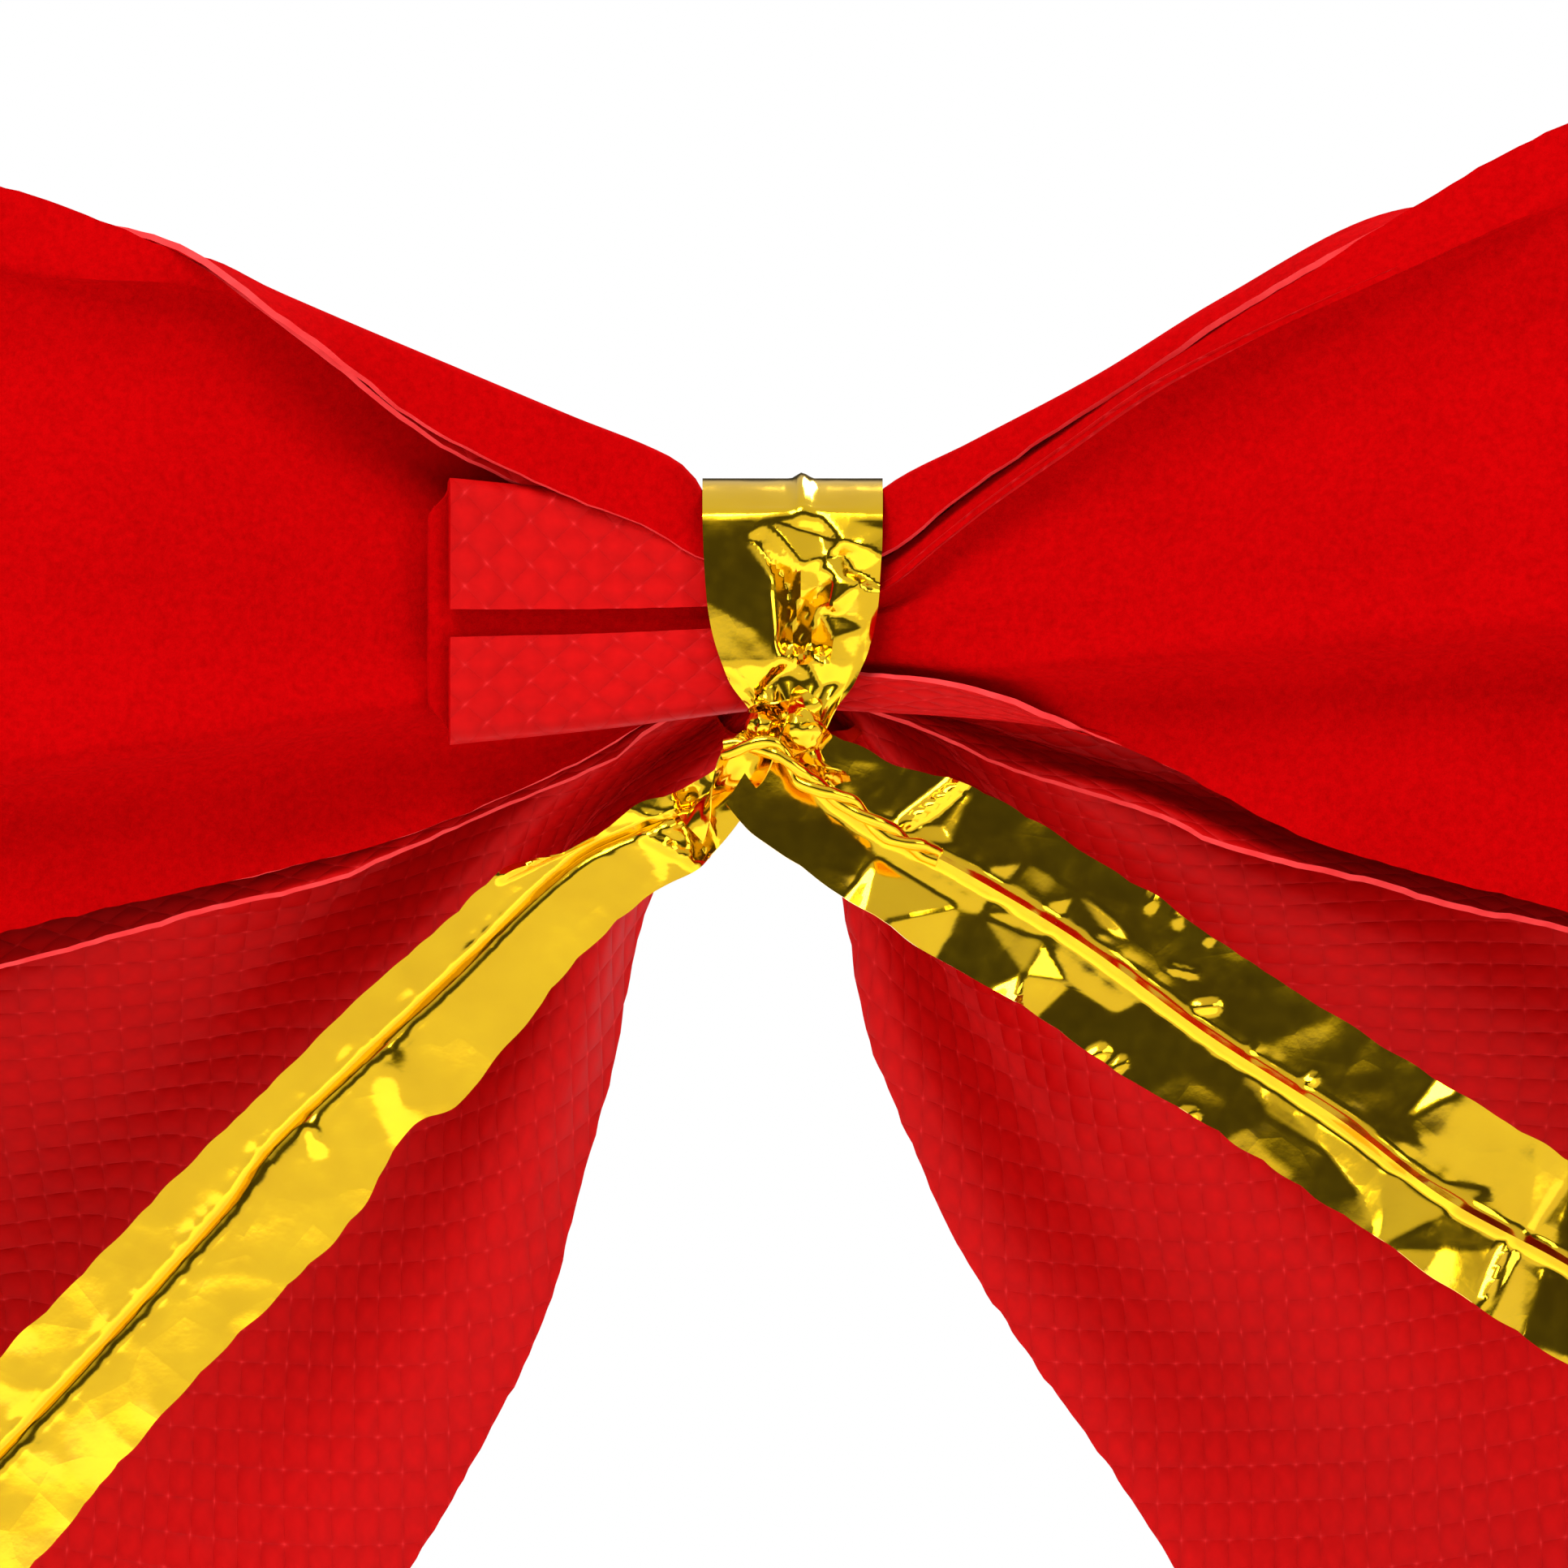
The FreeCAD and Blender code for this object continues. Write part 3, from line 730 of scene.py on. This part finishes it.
# A leg is a flat film with a wire along it. Stations run down the leg, and values are the film's two
# edges and the wire's line, measured across it. A crease is (from along, from across, to along,
# to across, half its width, height towards the back).
legs = {
    "left": {
        "start": (-4.6, -3.9), "slope": math.radians(43.3), "side": -1, "parts": (28.0, 28.0),
        "upper": [(-4, 0.6), (-1, 1.0), (1, 1.9), (5, 2.7), (8, 4.1), (11, 4.2), (15, 4.36), (22, 4.3),
                  (28, 4.2), (41, 3.7), (56, 3.9)],
        "lower": [(-4, -1.1), (-1, -1.7), (1, -1.9), (4.3, -1.2), (7.8, -1.1), (12.3, -1.6), (17, -2.2),
                  (19.2, -1.5), (23.8, -2.7), (31.7, -3.0), (38.4, -3.4), (45.6, -4.2), (56, -4.2)],
        "wire": [(-4, -0.2), (-1, 0.0), (2, 1.2), (5.3, 2.2), (12.9, 2.2), (20, 2.2), (25, 2.1), (28, 1.5),
                 (43.6, 0.4), (56, 0.1)],
        "wireHeight": -0.34,
        "wireHalf": 0.36,
        "lean": (0.0, -0.1),         # how far each half stands off at its edge, upper then lower
        "crush": 0.03,
        "fine": 0.12,
        "wave": 0.07,
        "creases": [(8.2, 4.0, 3.6, 2.5, 0.3, 0.4), (-1.3, 2.2, 0.8, -2.2, 0.65, -0.75),
                    (2.1, 1.2, 1.1, -1.9, 0.35, 0.28), (-3.0, -0.6, -2.4, 1.0, 0.5, 0.4),
                    (17.5, 1.6, 19.4, -1.6, 1.2, 0.22), (22.4, 1.9, 23.0, 0.6, 0.5, 0.22)],
        "facets": [(-6, -5, 0.5), (-6, 5, -0.6), (-3, 1.5, -0.4), (-2.4, -1.5, 0.2), (0.2, 0.3, 0.0),
                   (0.9, 0.6, 0.35), (1.7, 2.5, 0.15), (3.0, -1.5, 0.0), (4.0, 3.0, 0.0), (8, -5, 0.0),
                   (8, 5, 0.0), (60, -5, 0.0), (60, 5, 0.0)],
        "seed": 3.7,
    },
    "right": {
        "start": (2.6, -3.6), "slope": math.radians(32.1), "side": 1, "parts": (29.0, 27.0),
        "upper": [(-4.9, 1.6), (-4, 2.0), (-2.6, 2.6), (-0.5, 2.9), (1, 3.0), (4, 4.05), (12.4, 4.25),
                  (18, 4.1), (27, 4.0), (37, 4.1), (56, 4.2)],
        "lower": [(-4.9, -2.6), (-4, -2.9), (-3, -3.1), (2.2, -3.25), (8.3, -3.4), (11.8, -3.2),
                  (17.3, -3.45), (22.5, -3.3), (29.3, -3.5), (39.3, -3.8), (56, -4.2)],
        "wire": [(-4.9, 1.1), (-4, 1.0), (0, 0.1), (5.8, 0.55), (12.4, 0.7), (19.5, 0.2), (27, 0.1),
                 (33, -0.4), (39.7, 0.0), (56, 0.0)],
        "wireHeight": 0.34,
        "wireHalf": 0.42,
        "lean": (0.0, 0.0),
        "crush": 0.06,
        "fine": 0.10,
        "wave": 0.05,
        "creases": [(2.6, 0.9, 3.9, 4.3, 0.42, 0.5), (14.1, 4.4, 14.3, 3.7, 0.22, 0.22),
                    (15.6, 4.3, 15.8, 3.8, 0.2, 0.2), (17.2, 4.3, 17.4, 3.8, 0.2, 0.2),
                    (16.6, 1.9, 17.8, 2.3, 0.14, 0.16), (18.5, 0.9, 19.4, 1.6, 0.3, 0.25),
                    (24.7, 0.5, 25.0, 1.3, 0.2, 0.22), (21.6, 0.4, 21.9, 0.8, 0.15, 0.2),
                    (15.6, -3.5, 16.1, -2.9, 0.3, 0.25), (16.8, -3.5, 17.1, -2.8, 0.22, 0.22),
                    (20.5, -3.5, 21.2, -3.1, 0.2, 0.2), (36.5, -0.5, 37.0, -3.6, 0.3, 0.3)],
        "facets": [(-6, -5, 1.0), (-6, 5, -0.7), (-6, 0.5, 0.1), (1.5, 5, -0.8), (1.6, 0.6, 0.1),
                   (4.3, 5, -0.85), (3.6, 0.8, 0.1), (5.0, 1.3, 0.05), (4.0, 1.75, -0.35),
                   (8.4, 2.55, -0.40), (11.2, 2.6, -0.42), (13.3, 2.4, -0.40), (13.2, 1.7, 0.0),
                   (10, 1.1, 0.1), (6.5, 0.9, 0.1), (14.5, 5, -0.85), (14.5, 2.0, -0.3), (14.5, 0.5, 0.1),
                   (30.0, 5, -0.85), (29.0, 0.6, 0.05), (29.5, 1.6, -0.2), (31.5, 5, -0.1),
                   (31.2, 1.0, 0.0), (35, 5, -0.1), (34.6, 1.0, 0.05), (37.5, 5, -1.6), (37.0, 0.5, 0.1),
                   (60, 5, -1.2), (60, 0.4, 0.1), (0.2, -0.2, 0.1), (1.6, -0.5, 0.1), (2.0, -4, 0.9),
                   (2.4, -1.0, 0.05), (3.4, -4, 1.75), (7.2, -4, 0.6), (6.8, -0.9, 0.1), (7.8, -0.7, 0.1),
                   (8.3, -4, 0.75), (10.0, -0.4, 0.1), (9.6, -4, 0.75), (11.4, -4, 1.75),
                   (11.0, -2.0, 0.85), (12.4, -4, 0.8), (10.9, -0.1, 0.1), (13.0, -1.2, 0.12),
                   (15.5, -1.3, 0.12), (16.2, -0.4, 0.1), (17.5, -4, 0.8), (22.5, -4, 0.75),
                   (22.0, -0.3, 0.1), (23.6, -0.4, 0.1), (24.0, -1.6, 0.60), (27.2, -1.5, 0.60),
                   (28.4, -0.6, 0.1), (26.0, -4, 0.95), (27.6, -4, 1.0), (29.5, -2.4, 1.0),
                   (31.5, -4, 1.75), (30.2, -0.8, 0.15), (37.5, -4, 1.75), (37.3, -0.5, 0.1),
                   (39.5, -4, 0.6), (60, -5, 0.5)],
        "seed": 11.3,
    },
}
legShape = {
    "plane": -1.6,
    "bendGap": 3.0,
    "overlap": 0.8,              # how far a tip's film runs on under its root's
    "tuck": 0.04,                # how far it is set in there, towards the bow
    "bendReach": 2.6,
    "filmHalf": 4.2,
    "filmGap": 0.05,
    "wireRadius": 0.2,
    "wireGap": 0.04,
    "wireStep": 0.7,
    "ragged": 0.25,
    "fineFrom": (1.2, 0.3),      # small creases gather this near the wire
}


def creaseHeight(creases, along, across):
    # straight-sided creases pressed into a film, each fading at its two ends
    total = 0.0
    for fromAlong, fromAcross, toAlong, toAcross, half, height in creases:
        runAlong, runAcross = toAlong - fromAlong, toAcross - fromAcross
        length = math.hypot(runAlong, runAcross)
        down = ((along - fromAlong) * runAlong + (across - fromAcross) * runAcross) / length
        aside = ((along - fromAlong) * runAcross - (across - fromAcross) * runAlong) / length
        ends = smoothStep(-half, half, down) * smoothStep(length + half, length - half, down)
        total += height * tent(aside, half) * ends
    return total


def legPlace(leg, first, layer):
    upper, lower, wire = (curveThrough(leg[key]) for key in ("upper", "lower", "wire"))
    sine, cosine = math.sin(leg["slope"]), math.cos(leg["slope"])
    half = legShape["filmHalf"]
    pressedFlats = facets(leg["facets"])
    seed = leg["seed"]

    def place(along, width):
        t = first + along
        share = width / half - 1                          # -1 at the lower edge, 0 on the wire
        line, edge = wire(t)[0], (upper(t)[0] if share > 0 else lower(t)[0])
        ragged = smoothStep(0.8, 1, abs(share)) * legShape["ragged"] * uneven(t * 0.45, share, seed)
        across = line + (edge + math.copysign(ragged, share) - line) * abs(share)
        off = across - line
        near = leg["wireHeight"] * tent(off, leg["wireHalf"])
        stand = leg["lean"][0 if share > 0 else 1] * abs(share)
        crush = leg["crush"] * (abs(uneven(t * 0.33, across * 0.28, seed)) * 2 - 0.4)
        wave = leg["wave"] * uneven(t * 0.17, across * 0.16, seed + 5)
        byWire = smoothStep(*legShape["fineFrom"], abs(off))
        fine = leg["fine"] * byWire * abs(uneven(t, across * 0.45, seed + 9))
        soft = (crush + fine + wave) * min(1, abs(off) * 1.5)
        pressed = creaseHeight(leg["creases"], t, across) + pressedFlats(t, across)
        y = legShape["plane"] - near - stand - pressed + soft - layer
        x = leg["start"][0] + leg["side"] * (cosine * t + sine * across)
        return x, y, leg["start"][1] - sine * t + cosine * across

    return place


def makeRound(name, points, radius, sides=10):
    # a round wire through given or worked-out points
    line = bpy.data.curves.new(name, "CURVE")
    line.dimensions = "3D"
    line.bevel_depth = radius * mm
    line.bevel_resolution = sides // 4
    line.use_fill_caps = True
    run = line.splines.new("POLY")
    run.points.add(len(points) - 1)
    for point, spot in zip(run.points, points):
        point.co = (*(Vector(spot) * mm), 1)
    drawn = bpy.data.objects.new(name + "_line", line)
    bpy.context.scene.collection.objects.link(drawn)
    graph = bpy.context.evaluated_depsgraph_get()
    mesh = bpy.data.meshes.new_from_object(drawn.evaluated_get(graph), depsgraph=graph)
    bpy.data.objects.remove(drawn)
    mesh.name = name
    mesh.materials.clear()
    mesh.materials.append(wireMetal)
    mesh.shade_smooth()
    piece = bpy.data.objects.new(name, mesh)
    bpy.context.scene.collection.objects.link(piece)
    return piece


def makeLegPart(side, leg, part, first, last):
    sign = leg["side"]
    downLeg = Vector((sign * math.cos(leg["slope"]), 0, -math.sin(leg["slope"])))
    hinge = 0.0 if part == "root" else leg["parts"][0]
    base = Vector((leg["start"][0], 0, leg["start"][1]))
    start = (base + downLeg * (hinge - legShape["bendReach"])) * mm
    end = (base + downLeg * (hinge + legShape["bendReach"])) * mm
    under = legShape["tuck"] if part == "tip" else 0.0
    gap = legShape["filmGap"]
    for film, layer in (("outer_film", gap - under), ("inner_film", -gap - under)):
        piece = flatStrip(f"tie_{side}_{part}_{film}", last - first, 2 * legShape["filmHalf"], cells["leg"],
                          legPlace(leg, first, layer), flip=sign > 0)
        finishSheet(piece, foilFinish, filmThickness)
        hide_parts(f"tie_{side}_leg_{part}_{film}")
        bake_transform(piece)
    wirePlace = legPlace(leg, first, -legShape["wireRadius"] - legShape["wireGap"] - under)
    steps = round((last - first) / legShape["wireStep"])
    run = [wirePlace((last - first) * i / steps, legShape["filmHalf"]) for i in range(steps + 1)]
    wire = makeRound(f"tie_{side}_{part}_wire", run, legShape["wireRadius"])
    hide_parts(f"tie_{side}_leg_{part}_wire")
    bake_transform(wire)


for side, leg in legs.items():
    whole = sum(leg["parts"])
    joinAt = leg["parts"][0] - legShape["bendGap"]
    makeLegPart(side, leg, "root", leg["upper"][0][0], joinAt)
    makeLegPart(side, leg, "tip", joinAt - legShape["overlap"], whole)
print("tie legs made")


band = {
    "route": [(0, -0.9, 0.2), (2, -1.0, 2.2), (4.5, -0.9, 4.8), (7.0, -0.75, 7.3), (9.0, -0.62, 9.3),
              (9.8, -0.5, 10.05), (10.4, -0.15, 10.5), (12.2, 1.3, 11.5), (13.5, 2.5, 11.9),
              (15, 4.0, 11.85), (17, 6.2, 11.3), (19, 8.2, 10.2), (21.5, 8.95, 7.8), (25, 9.0, 4.6),
              (28, 8.0, 1.6), (30.5, 5.8, 0.3), (33, 3.4, 0.1), (36, 0.4, -0.2)],
    "half": [(0, 1.5), (1, 2.0), (2.2, 2.9), (4.5, 3.75), (7.5, 4.1), (12, 4.2), (25, 4.2), (29, 3.6),
             (33, 2.2), (36, 1.3)],
    "pleat": [(0, 0.30), (1.6, 0.12), (3.0, 0.0), (4.0, 0.0), (24, 0.0), (25, 0.0), (29, 0.3), (36, 0.7)],
    "creases": [(20, -4.2, 21, 4.2, 0.8, 0.15), (23.4, -4.2, 24.6, 4.2, 1.0, -0.15),
                (17, -2.0, 28, -1.6, 0.8, 0.2), (18, 2.2, 29, 1.5, 0.8, 0.2)],
    # flats and creases on the side with the knot: along is near enough the height above the knot
    "facets": [(10.4, -5, 0.0), (10.4, 5, 0.0), (10.2, 0.1, 0.05), (10.4, 0.62, 0.3), (10.2, 1.2, 0.05),
               (9.4, -4.6, 0.0), (9.5, -3.2, 0.0), (8.8, -2.05, 0.07), (9.6, -0.9, 0.0), (7.5, 0.0, 0.05),
               (7.6, 0.62, 0.55), (7.4, 1.25, 0.1), (8.6, -1.5, -0.10), (7.2, -0.35, -0.45),
               (6.9, -0.75, 0.30), (6.3, -0.85, 0.37), (6.4, -4.6, 0.36), (4.8, -1.9, 0.55),
               (3.9, -0.6, 0.66), (3.0, -0.6, 0.70), (2.9, -3.6, 0.43), (2.7, -3.6, 0.0), (2.5, -0.7, 0.0),
               (1.8, -1.6, 0.25), (1.2, -1.4, 0.0), (1.0, -2.5, 0.1), (9.8, 1.6, 0.0), (8.6, 2.5, 0.35),
               (8.4, 3.4, 0.45), (9.2, 4.4, 0.0), (8.9, 1.5, -0.35), (7.9, 1.7, 0.2), (7.0, 2.2, 0.6),
               (8.0, 2.6, -0.2), (7.2, 3.1, -0.1), (7.9, 4.3, 0.35), (6.6, 3.3, 0.75), (6.4, 4.3, 0.2),
               (6.6, 1.6, -0.1), (5.6, 2.0, 0.75), (5.2, 2.3, 0.3), (4.6, 3.6, 0.45), (4.2, 2.1, 0.5),
               (3.0, 1.9, 0.55), (3.0, 3.0, 0.2), (2.2, 2.6, 0.1), (6.4, -0.3, -0.1), (6.2, 0.1, -0.4),
               (6.0, 0.5, 0.3), (5.8, 0.95, -0.45), (5.6, 1.35, 0.05), (3.9, -0.25, -0.25), (3.8, 0.1, 0.1),
               (3.8, 0.5, -0.35), (3.8, 0.95, 0.25), (3.8, 1.4, -0.45), (3.2, -0.2, 0.55), (3.0, 0.25, 0.2),
               (3.2, 0.6, 0.7), (3.0, 1.0, 0.15), (3.2, 1.35, 0.55), (2.2, 1.5, 0.2), (0, -0.6, 0.3),
               (0, -0.1, 0.0), (0, 0.4, 0.5), (0, 0.8, 0.1), (0, 1.2, 0.4), (0, 3, 0.0), (0, -3, 0.0)],
    "facetsEnd": 10.4,           # along, at the fold over the bundle
    "middle": 0.17,
    "pleatCount": 2.6,
    "ridge": {"across": 0.62, "half": 0.5, "height": 0.30, "from": (9, 11)},
    "crush": 0.03,
    "crushUntil": (9.6, 8.6),
    "filmGaps": {"outer_film": 0.05, "inner_film": -0.06},
    "wireGap": 0.12,
    "wireSteps": 60,
    "length": 36.0,
}


def bandPlace(layer):
    route, half, pleat = (curveThrough(band[key]) for key in ("route", "half", "pleat"))
    pressedFlats = facets(band["facets"])
    wireRidge = band["ridge"]

    def place(along, width):
        share = width / legShape["filmHalf"] - 1
        y, z, _ = route(along)
        ahead, behind = route(min(along + 0.2, band["length"])), route(max(along - 0.2, 0))
        way = (ahead - behind).normalized()
        out = Vector((-way.y, way.x))                     # away from the bundle, in (y, z)
        x = band["middle"] + share * half(along)[0]
        folds = abs(((share * band["pleatCount"] + 0.15) % 1) * 2 - 1)
        ridge = wireRidge["height"] * tent(x - wireRidge["across"], wireRidge["half"])
        ridge *= smoothStep(*wireRidge["from"], along)
        crush = band["crush"] * abs(uneven(along * 0.47 + 0.3, share * 1.9, 4.4))
        crush *= smoothStep(*band["crushUntil"], along)
        pressed = creaseHeight(band["creases"], along, x)
        if along < band["facetsEnd"]:
            pressed += pressedFlats(along, x)
        height = pleat(along)[0] * folds * 2 + ridge + crush + pressed + layer
        return x, y + out.x * height, z + out.y * height

    return place


for film, layer in band["filmGaps"].items():
    piece = flatStrip(f"tie_band_{film}_gathered", band["length"], 2 * legShape["filmHalf"], cells["band"],
                      bandPlace(layer), flip=True)
    finishSheet(piece, foilFinish, filmThickness)
    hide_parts(f"tie_band_{film}")
    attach(piece, "waist")

underBand = bandPlace(-legShape["wireRadius"] - band["wireGap"])
steps = band["wireSteps"]
run = [underBand(band["length"] * i / steps, legShape["filmHalf"]) for i in range(steps + 1)]
bandWire = makeRound("tie_band_core_wire", run, legShape["wireRadius"])
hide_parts("tie_band_wire")
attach(bandWire, "waist")
print("tie band made")


# The two ends of the tie wind round each other below the bundle. Each strand is a film that turns
# about its own line: route points, half width at each end and number of turns.
knot = {
    "strands": {
        "under": {"route": [(0, 1.2, -1.5, 1.6), (2, 0.0, -2.2, 0.4), (4, -1.6, -2.3, -0.9),
                            (6, -3.2, -2.0, -2.5), (8, -4.8, -1.9, -4.1)],
                  "length": 8.0, "half": (1.0, 1.3), "turns": 0.9},
        "wound": {"route": [(0, -1.3, -1.3, 1.7), (1.6, -0.5, -2.2, 0.9), (3.4, 0.9, -2.5, 0.4),
                            (5, 1.3, -2.0, -0.9), (7, 2.2, -1.7, -2.6)],
                  "length": 7.0, "half": (0.9, 0.8), "turns": 1.6},
    },
    "twist": {"route": [(0, -3.0, -2.6, -0.7), (1.2, -1.8, -3.0, -0.55), (2.4, -0.6, -3.25, -0.7),
                        (4.1, 0.6, -3.2, -2.0), (6.5, 2.7, -3.0, -3.2), (8.9, 4.7, -2.7, -4.6),
                        (11.3, 6.9, -2.2, -5.7)],
              "length": 11.3, "gap": 0.22, "radius": 0.30, "turns": 2.6, "steps": 90, "wander": 0.05,
              "crush": 0.10 * mm, "grain": 1300},
    "wire": {"radius": 0.09, "steps": 60},
    "curl": 0.35,
    "strandCrush": 0.14,
    "lumps": [((-1.2, -2.0, 0.35), 0.8), ((0.55, -2.3, 0.15), 1.05), ((-0.3, -1.8, -0.5), 0.8)],
    "crumple": 0.17,
}


def strandPlace(strand):
    route = curveThrough(strand["route"])
    wide, narrow = strand["half"]

    def place(along, width):
        share = width / legShape["filmHalf"] - 1
        spot = route(along)
        way = (route(min(along + 0.1, strand["length"])) - route(max(along - 0.1, 0))).normalized()
        side = way.cross(Vector((0, 1, 0))).normalized()
        front = side.cross(way)
        angle = 2 * math.pi * strand["turns"] * along / strand["length"]
        half = wide + (narrow - wide) * along / strand["length"]
        curl = knot["curl"] * half * (share * share - 0.4)
        crush = knot["strandCrush"] * uneven(along * 0.9, share * 1.6, strand["turns"])
        blade = side * math.cos(angle) + front * math.sin(angle)
        lift = front * math.cos(angle) - side * math.sin(angle)
        return spot + blade * share * half + lift * (curl + crush)

    return place


for name, strand in knot["strands"].items():
    piece = flatStrip(f"tie_knot_{name}_strand", strand["length"], 2 * legShape["filmHalf"], cells["band"],
                      strandPlace(strand))
    finishSheet(piece, foilFinish, filmThickness)
    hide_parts("tie_knot_foil")
    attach(piece, "waist")


def makeLump(name, middle, radius, seed):
    # foil crushed into a ball: a fine sphere pressed into flats and creases
    ball = bmesh.new()
    bmesh.ops.create_icosphere(ball, subdivisions=5, radius=radius)
    for vert in ball.verts:
        way = vert.co.normalized()
        broad = abs(noise.noise(way * 1.1 + Vector((seed, 0, 0))))
        small = abs(noise.noise(way * 2.3 + Vector((0, seed, 0))))
        vert.co *= 1 + knot["crumple"] * (0.5 - 1.6 * (broad + 0.25 * small))
    bmesh.ops.translate(ball, verts=ball.verts, vec=middle)
    bmesh.ops.scale(ball, verts=ball.verts, vec=(mm, mm, mm))
    mesh = bpy.data.meshes.new(name)
    ball.to_mesh(mesh)
    ball.free()
    mesh.shade_smooth()
    mesh.materials.append(foil)
    piece = bpy.data.objects.new(name, mesh)
    bpy.context.scene.collection.objects.link(piece)
    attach(piece, "waist")


for number, (middle, radius) in enumerate(knot["lumps"], 1):
    makeLump(f"tie_knot_lump_{number}", middle, radius, 3.1 * number)

twist = knot["twist"]
twistRoute = curveThrough(twist["route"])


def twistPoint(along, offset, phase):
    angle = 2 * math.pi * twist["turns"] * along / twist["length"] + phase
    way = (twistRoute(min(along + 0.1, twist["length"])) - twistRoute(max(along - 0.1, 0))).normalized()
    side = way.cross(Vector((0, 1, 0))).normalized()
    outwards = side * math.cos(angle) + side.cross(way) * math.sin(angle)
    return twistRoute(along) + outwards * (offset + twist["wander"] * uneven(along * 1.4, phase, 2.0))


def twistRun(steps, offset, phase):
    return [twistPoint(twist["length"] * i / steps, offset, phase) for i in range(steps + 1)]


# the twisted pair: two rolled strands of film, with the core wire along their middle
for number, phase in enumerate((0.0, math.pi), 1):
    run = twistRun(twist["steps"], twist["gap"], phase)
    piece = makeRound(f"tie_knot_twisted_strand_{number}", run, twist["radius"], 12)
    for vert in piece.data.vertices:
        vert.co += vert.normal * twist["crush"] * noise.noise(vert.co * twist["grain"])
    piece.data.materials[0] = foil
    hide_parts("tie_knot_foil")
    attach(piece, "waist")
knotWire = makeRound("tie_knot_core_wire", twistRun(knot["wire"]["steps"], 0, 0), knot["wire"]["radius"])
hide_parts("tie_knot_wire")
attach(knotWire, "waist")
print("knot made")


def makeFloor():
    floor = bmesh.new()
    bmesh.ops.create_grid(floor, x_segments=1, y_segments=1, size=0.4)
    bmesh.ops.translate(floor, verts=floor.verts, vec=(0, 0, cadBounds[0][2] - 4 * mm))
    mesh = bpy.data.meshes.new("floor")
    floor.to_mesh(mesh)
    floor.free()
    piece = bpy.data.objects.new("floor", mesh)
    bpy.context.scene.collection.objects.link(piece)
    material, surface, maker = startMaterial("floor_paper", {"Roughness": 0.9, "Specular IOR Level": 0.1,
                                                             "Emission Strength": 0.12})
    surface.inputs["Base Color"].default_value = (0.93, 0.93, 0.93, 1)
    surface.inputs["Emission Color"].default_value = (1, 1, 1, 1)
    mesh.materials.append(material)


def makeWorld():
    # white below and all round, dark above that and pale overhead, so that foil has something to mirror
    world = bpy.data.worlds.new("studio")
    bpy.context.scene.world = world
    world.use_nodes = True
    tree = world.node_tree
    maker = Socket(tree, None)
    way = maker.node("ShaderNodeTexCoord", out="Generated")
    split = maker.node("ShaderNodeSeparateXYZ", None, {"Vector": way}, out="Z")
    ramp = maker.node("ShaderNodeValToRGB", {"stops": [
        (0.0, (1, 1, 1, 1)), (0.555, (1, 1, 1, 1)), (0.60, (0.06, 0.06, 0.06, 1)),
        (0.74, (0.05, 0.05, 0.05, 1)), (0.82, (0.7, 0.7, 0.7, 1)), (1.0, (0.8, 0.8, 0.8, 1)),
    ]}, {"Fac": split * 0.5 + 0.5})
    background = next(n for n in tree.nodes if n.type == "BACKGROUND")
    tree.links.new(ramp.output, background.inputs["Color"])
    background.inputs["Strength"].default_value = 1.0


def makeLight(name, place, size, power):
    lamp = bpy.data.lights.new(name, "AREA")
    lamp.shape = "RECTANGLE"
    lamp.size, lamp.size_y = size
    lamp.energy = power
    piece = bpy.data.objects.new(name, lamp)
    bpy.context.scene.collection.objects.link(piece)
    piece.location = place
    piece.rotation_euler = (-Vector(place)).to_track_quat("-Z", "Y").to_euler()


def makeCamera():
    # looks squarely at the back of the bow, close enough that the ends of the loops run out of view
    view = {"x": -0.23, "z": -2.3, "distance": 420.0, "span": 72.9}
    lens = bpy.data.cameras.new("camera")
    lens.sensor_width = 36.0
    lens.lens = 36.0 * view["distance"] / view["span"]
    lens.clip_start, lens.clip_end = 0.01, 50
    camera = bpy.data.objects.new("camera", lens)
    bpy.context.scene.collection.objects.link(camera)
    camera.location = (view["x"] * mm, -view["distance"] * mm, view["z"] * mm)
    camera.rotation_euler = (math.pi / 2, 0, 0)
    bpy.context.scene.camera = camera


makeFloor()
makeWorld()
makeLight("key", (-0.25, -0.62, 0.80), (0.45, 0.45), 11.0)
makeLight("fill", (0.75, -0.60, 0.45), (0.4, 0.4), 2.0)
makeLight("front_key", (0.30, 0.65, 0.80), (0.45, 0.45), 9.0)
makeLight("front_fill", (-0.75, 0.60, 0.45), (0.4, 0.4), 2.0)
makeCamera()
bpy.context.scene.view_settings.view_transform = "Standard"
print("stage, light and camera ready")
